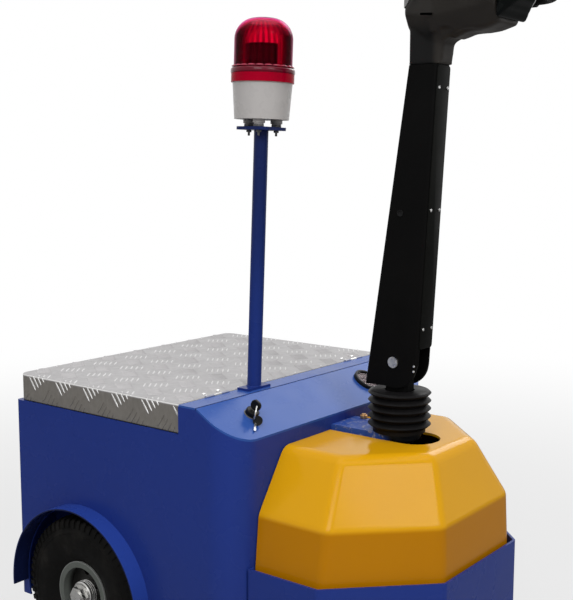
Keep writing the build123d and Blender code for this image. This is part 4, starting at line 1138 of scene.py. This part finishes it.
# Every third ring of its vertices stands out a little
pick(weld, "VERT", lambda at: int((atan2(at.y, at.x) + pi) * 24 / pi) % 3 == 0)
resized(1.02, 1.02, 0.8)
closed()
weld.location = beacon_foot + Vector((0, 0, 0.0042))
done(weld, enamel, smooth=60)

# The gauge has a black bezel, a dial painted grey as the shade under the bezel, with ticks and a needle,
# and a slightly domed window of clear plastic. All of it is square to the console's slope.
window = Finish("clear_window", 1.03, Roughness=0.03, Transmission_Weight=1)
window.tint((0.93, 0.94, 0.95), (0.98, 0.98, 0.98), 40)
coat(window, "gauge_glass")


def on_slope(x, down, out=0):
    """A place on the console's slope, with the local Z square to it and the local Y up the slope."""
    foot = Vector((x, ledge_edge - down * cos(slope_angle), lid_high.z - down * sin(slope_angle)))
    return moved(*foot) @ turned(slope_angle, "X") @ moved(0, 0, out)


gauge_at = (0.131, 0.044)
gauge_r, dial_r = 0.026, 0.0214
# The bezel's outline, as radius and height above the slope
bezel_points = [
    (gauge_r + 0.0003, 0.0002), (gauge_r + 0.0004, 0.0048), (gauge_r - 0.0004, 0.0064),
    (gauge_r - 0.0018, 0.0071), (gauge_r - 0.0032, 0.0068), (dial_r + 0.0006, 0.005),
    (dial_r + 0.0002, 0.0025), (dial_r + 0.0016, 0.0025), (gauge_r - 0.0016, 0.0055),
    (gauge_r - 0.0006, 0.0002), (gauge_r + 0.0003, 0.0002)]
bezel = spun("gauge_bezel", [(r, 0, z) for r, z in bezel_points], 64)
bezel.matrix_world = on_slope(*gauge_at)
done(bezel, moulded, smooth=50)
dial = disc("gauge_dial", 64, dial_r - 0.0002, 0.0004)
sunk(dial, 0.0032, 0.0003)
rounded(0.00008, 1)
dial.matrix_world = on_slope(*gauge_at, 0.0022)
# The dial is painted grey as the shade under the bezel.
dial_painted_shade = Finish("dial_painted_shade", 1.45, 0)
dial_painted_shade.tint((0.13, 0.105, 0.11), (0.19, 0.155, 0.16), 60)
dial_painted_shade.dull(0.5, 0.65, 90)
done(dial, dial_painted_shade)
tick = brick("tick", (0.0008, 0.003, 0.0003))
rounded(0.0001, 1)
tick_r, first_tick, tick_step = 0.0158, -120, 24
tick_places = [
    on_slope(*gauge_at, 0.0028) @ turned(radians(first_tick + tick_step * i), "Z") @ moved(0, tick_r, 0)
    for i in range(11)]
ticks = scattered(tick, tick_places, "dial_ticks")
needle = brick("dial_needle", (0.0014, 0.015, 0.0004))
pick(needle, "FACE", lambda at, normal: normal.y > 0.9)
resized(0.3, 1, 1)
closed()
needle_angle, needle_mid = radians(48), 0.0052
needle.matrix_world = on_slope(*gauge_at, 0.0031) @ turned(needle_angle, "Z") @ moved(0, needle_mid, 0)
boss = disc("needle_boss", 24, 0.0026, 0.0012)
rounded(0.0004)
boss.matrix_world = on_slope(*gauge_at, 0.0033)
done(joined([ticks, needle, boss], "dial_marks"), moulded)
glass = disc("gauge_lens", 64, dial_r, 0.0012, 0.0046)
pick(glass, "FACE", lambda at, normal: normal.z > 0.9)
# Columns: how much narrower the next ring of the dome is, and how much higher
for narrower, higher in ((0.93, 0.0003), (0.85, 0.0003), (0.7, 0.0002), (0.45, 0.0001)):
    pushed((0, 0, higher))
    resized(narrower, narrower, 1)
closed()
glass.matrix_world = on_slope(*gauge_at)
done(glass, window, smooth=50)
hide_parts("gauge_glass")

# The ignition key stands in its switch and has a black plastic head. A round flange lies under the
# switch, and a plain neck joins it to the head.
key_at = (-0.198, 0.042)
bow_t, bow_w, bow_h = 0.0056, 0.0175, 0.016
key_bow = brick("key_head", (bow_t, bow_w, bow_h))
pick(key_bow, "EDGE", lambda at: abs(at.y) > 0.49 * bow_w and abs(at.z) > 0.48 * bow_h)
bevelled(0.0066, 6)
pick(key_bow, "FACE", lambda at, normal: abs(normal.x) > 0.9)
bpy.ops.mesh.inset(thickness=0.0028)
resized(0.8, 1, 1)
rounded(0.0006)
key_bow.matrix_world = on_slope(*key_at, 0.0195)
done(key_bow, moulded)
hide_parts("key")
key_neck = brick("key_neck", (0.0024, 0.0068, 0.004))
rounded(0.0004)
key_neck.matrix_world = on_slope(*key_at, 0.0105)
done(key_neck, zinc)
flange = torus("switch_flange", 0.0116, 0.0011, 10)
resized(1, 1, 0.8)
closed()
flange.matrix_world = on_slope(*key_at, 0.0009)
done(flange, iron, smooth=60)

# The split ring hangs down over the slope and carries a spare key with a round black head. The spare
# key's notched blade lies on the slope.
ring_top = Vector((-0.202, -0.106, 0.499))
ring_foot = Vector((-0.212, -0.1085, 0.48))
ring_up = (ring_top - ring_foot).normalized()
ring_flat = Vector((0.78, 0.61, 0)).cross(ring_up).normalized()
ring_turn = Matrix((ring_up.cross(ring_flat), ring_up, ring_flat)).transposed().to_4x4()
split_ring = torus("split_ring", (ring_top - ring_foot).length / 2, 0.0007, 8)
resized(1, 1, 1.6)
closed()
split_ring.matrix_world = moved(*(ring_top + ring_foot) / 2) @ ring_turn
done(split_ring, steel, smooth=60)
spare_head = disc("spare_key_head", 32, 0.0078, 0.0034)
pick(spare_head, "FACE", lambda at, normal: abs(normal.z) > 0.9)
bpy.ops.mesh.inset(thickness=0.0018)
resized(1, 1, 0.8)
rounded(0.0005)
facing = Vector((-0.75, -0.62, 0.22)).to_track_quat("Z", "Y").to_matrix().to_4x4()
spare_head.matrix_world = moved(-0.207, -0.112, 0.4775) @ facing
done(spare_head, moulded)
blade = brick("spare_key_blade", (0.0036, 0.0014, 0.03))
bpy.ops.mesh.subdivide(number_cuts=5)
notch_pitch, notch_depth = 0.0044, 0.0009
pick(blade, "VERT", lambda at: at.x > 0.001 and int(abs(at.z) / notch_pitch) % 2 == 1)
bpy.ops.transform.translate(value=(-notch_depth, 0, 0))
closed()
blade_turn = -0.87
blade.matrix_world = on_slope(-0.215, 0.0668, 0.003) @ turned(blade_turn, "Z") @ turned(pi / 2, "X")
done(blade, steel)

size = {"cad": [list(corner) for corner in cad_box], "visual": [list(corner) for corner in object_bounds()]}
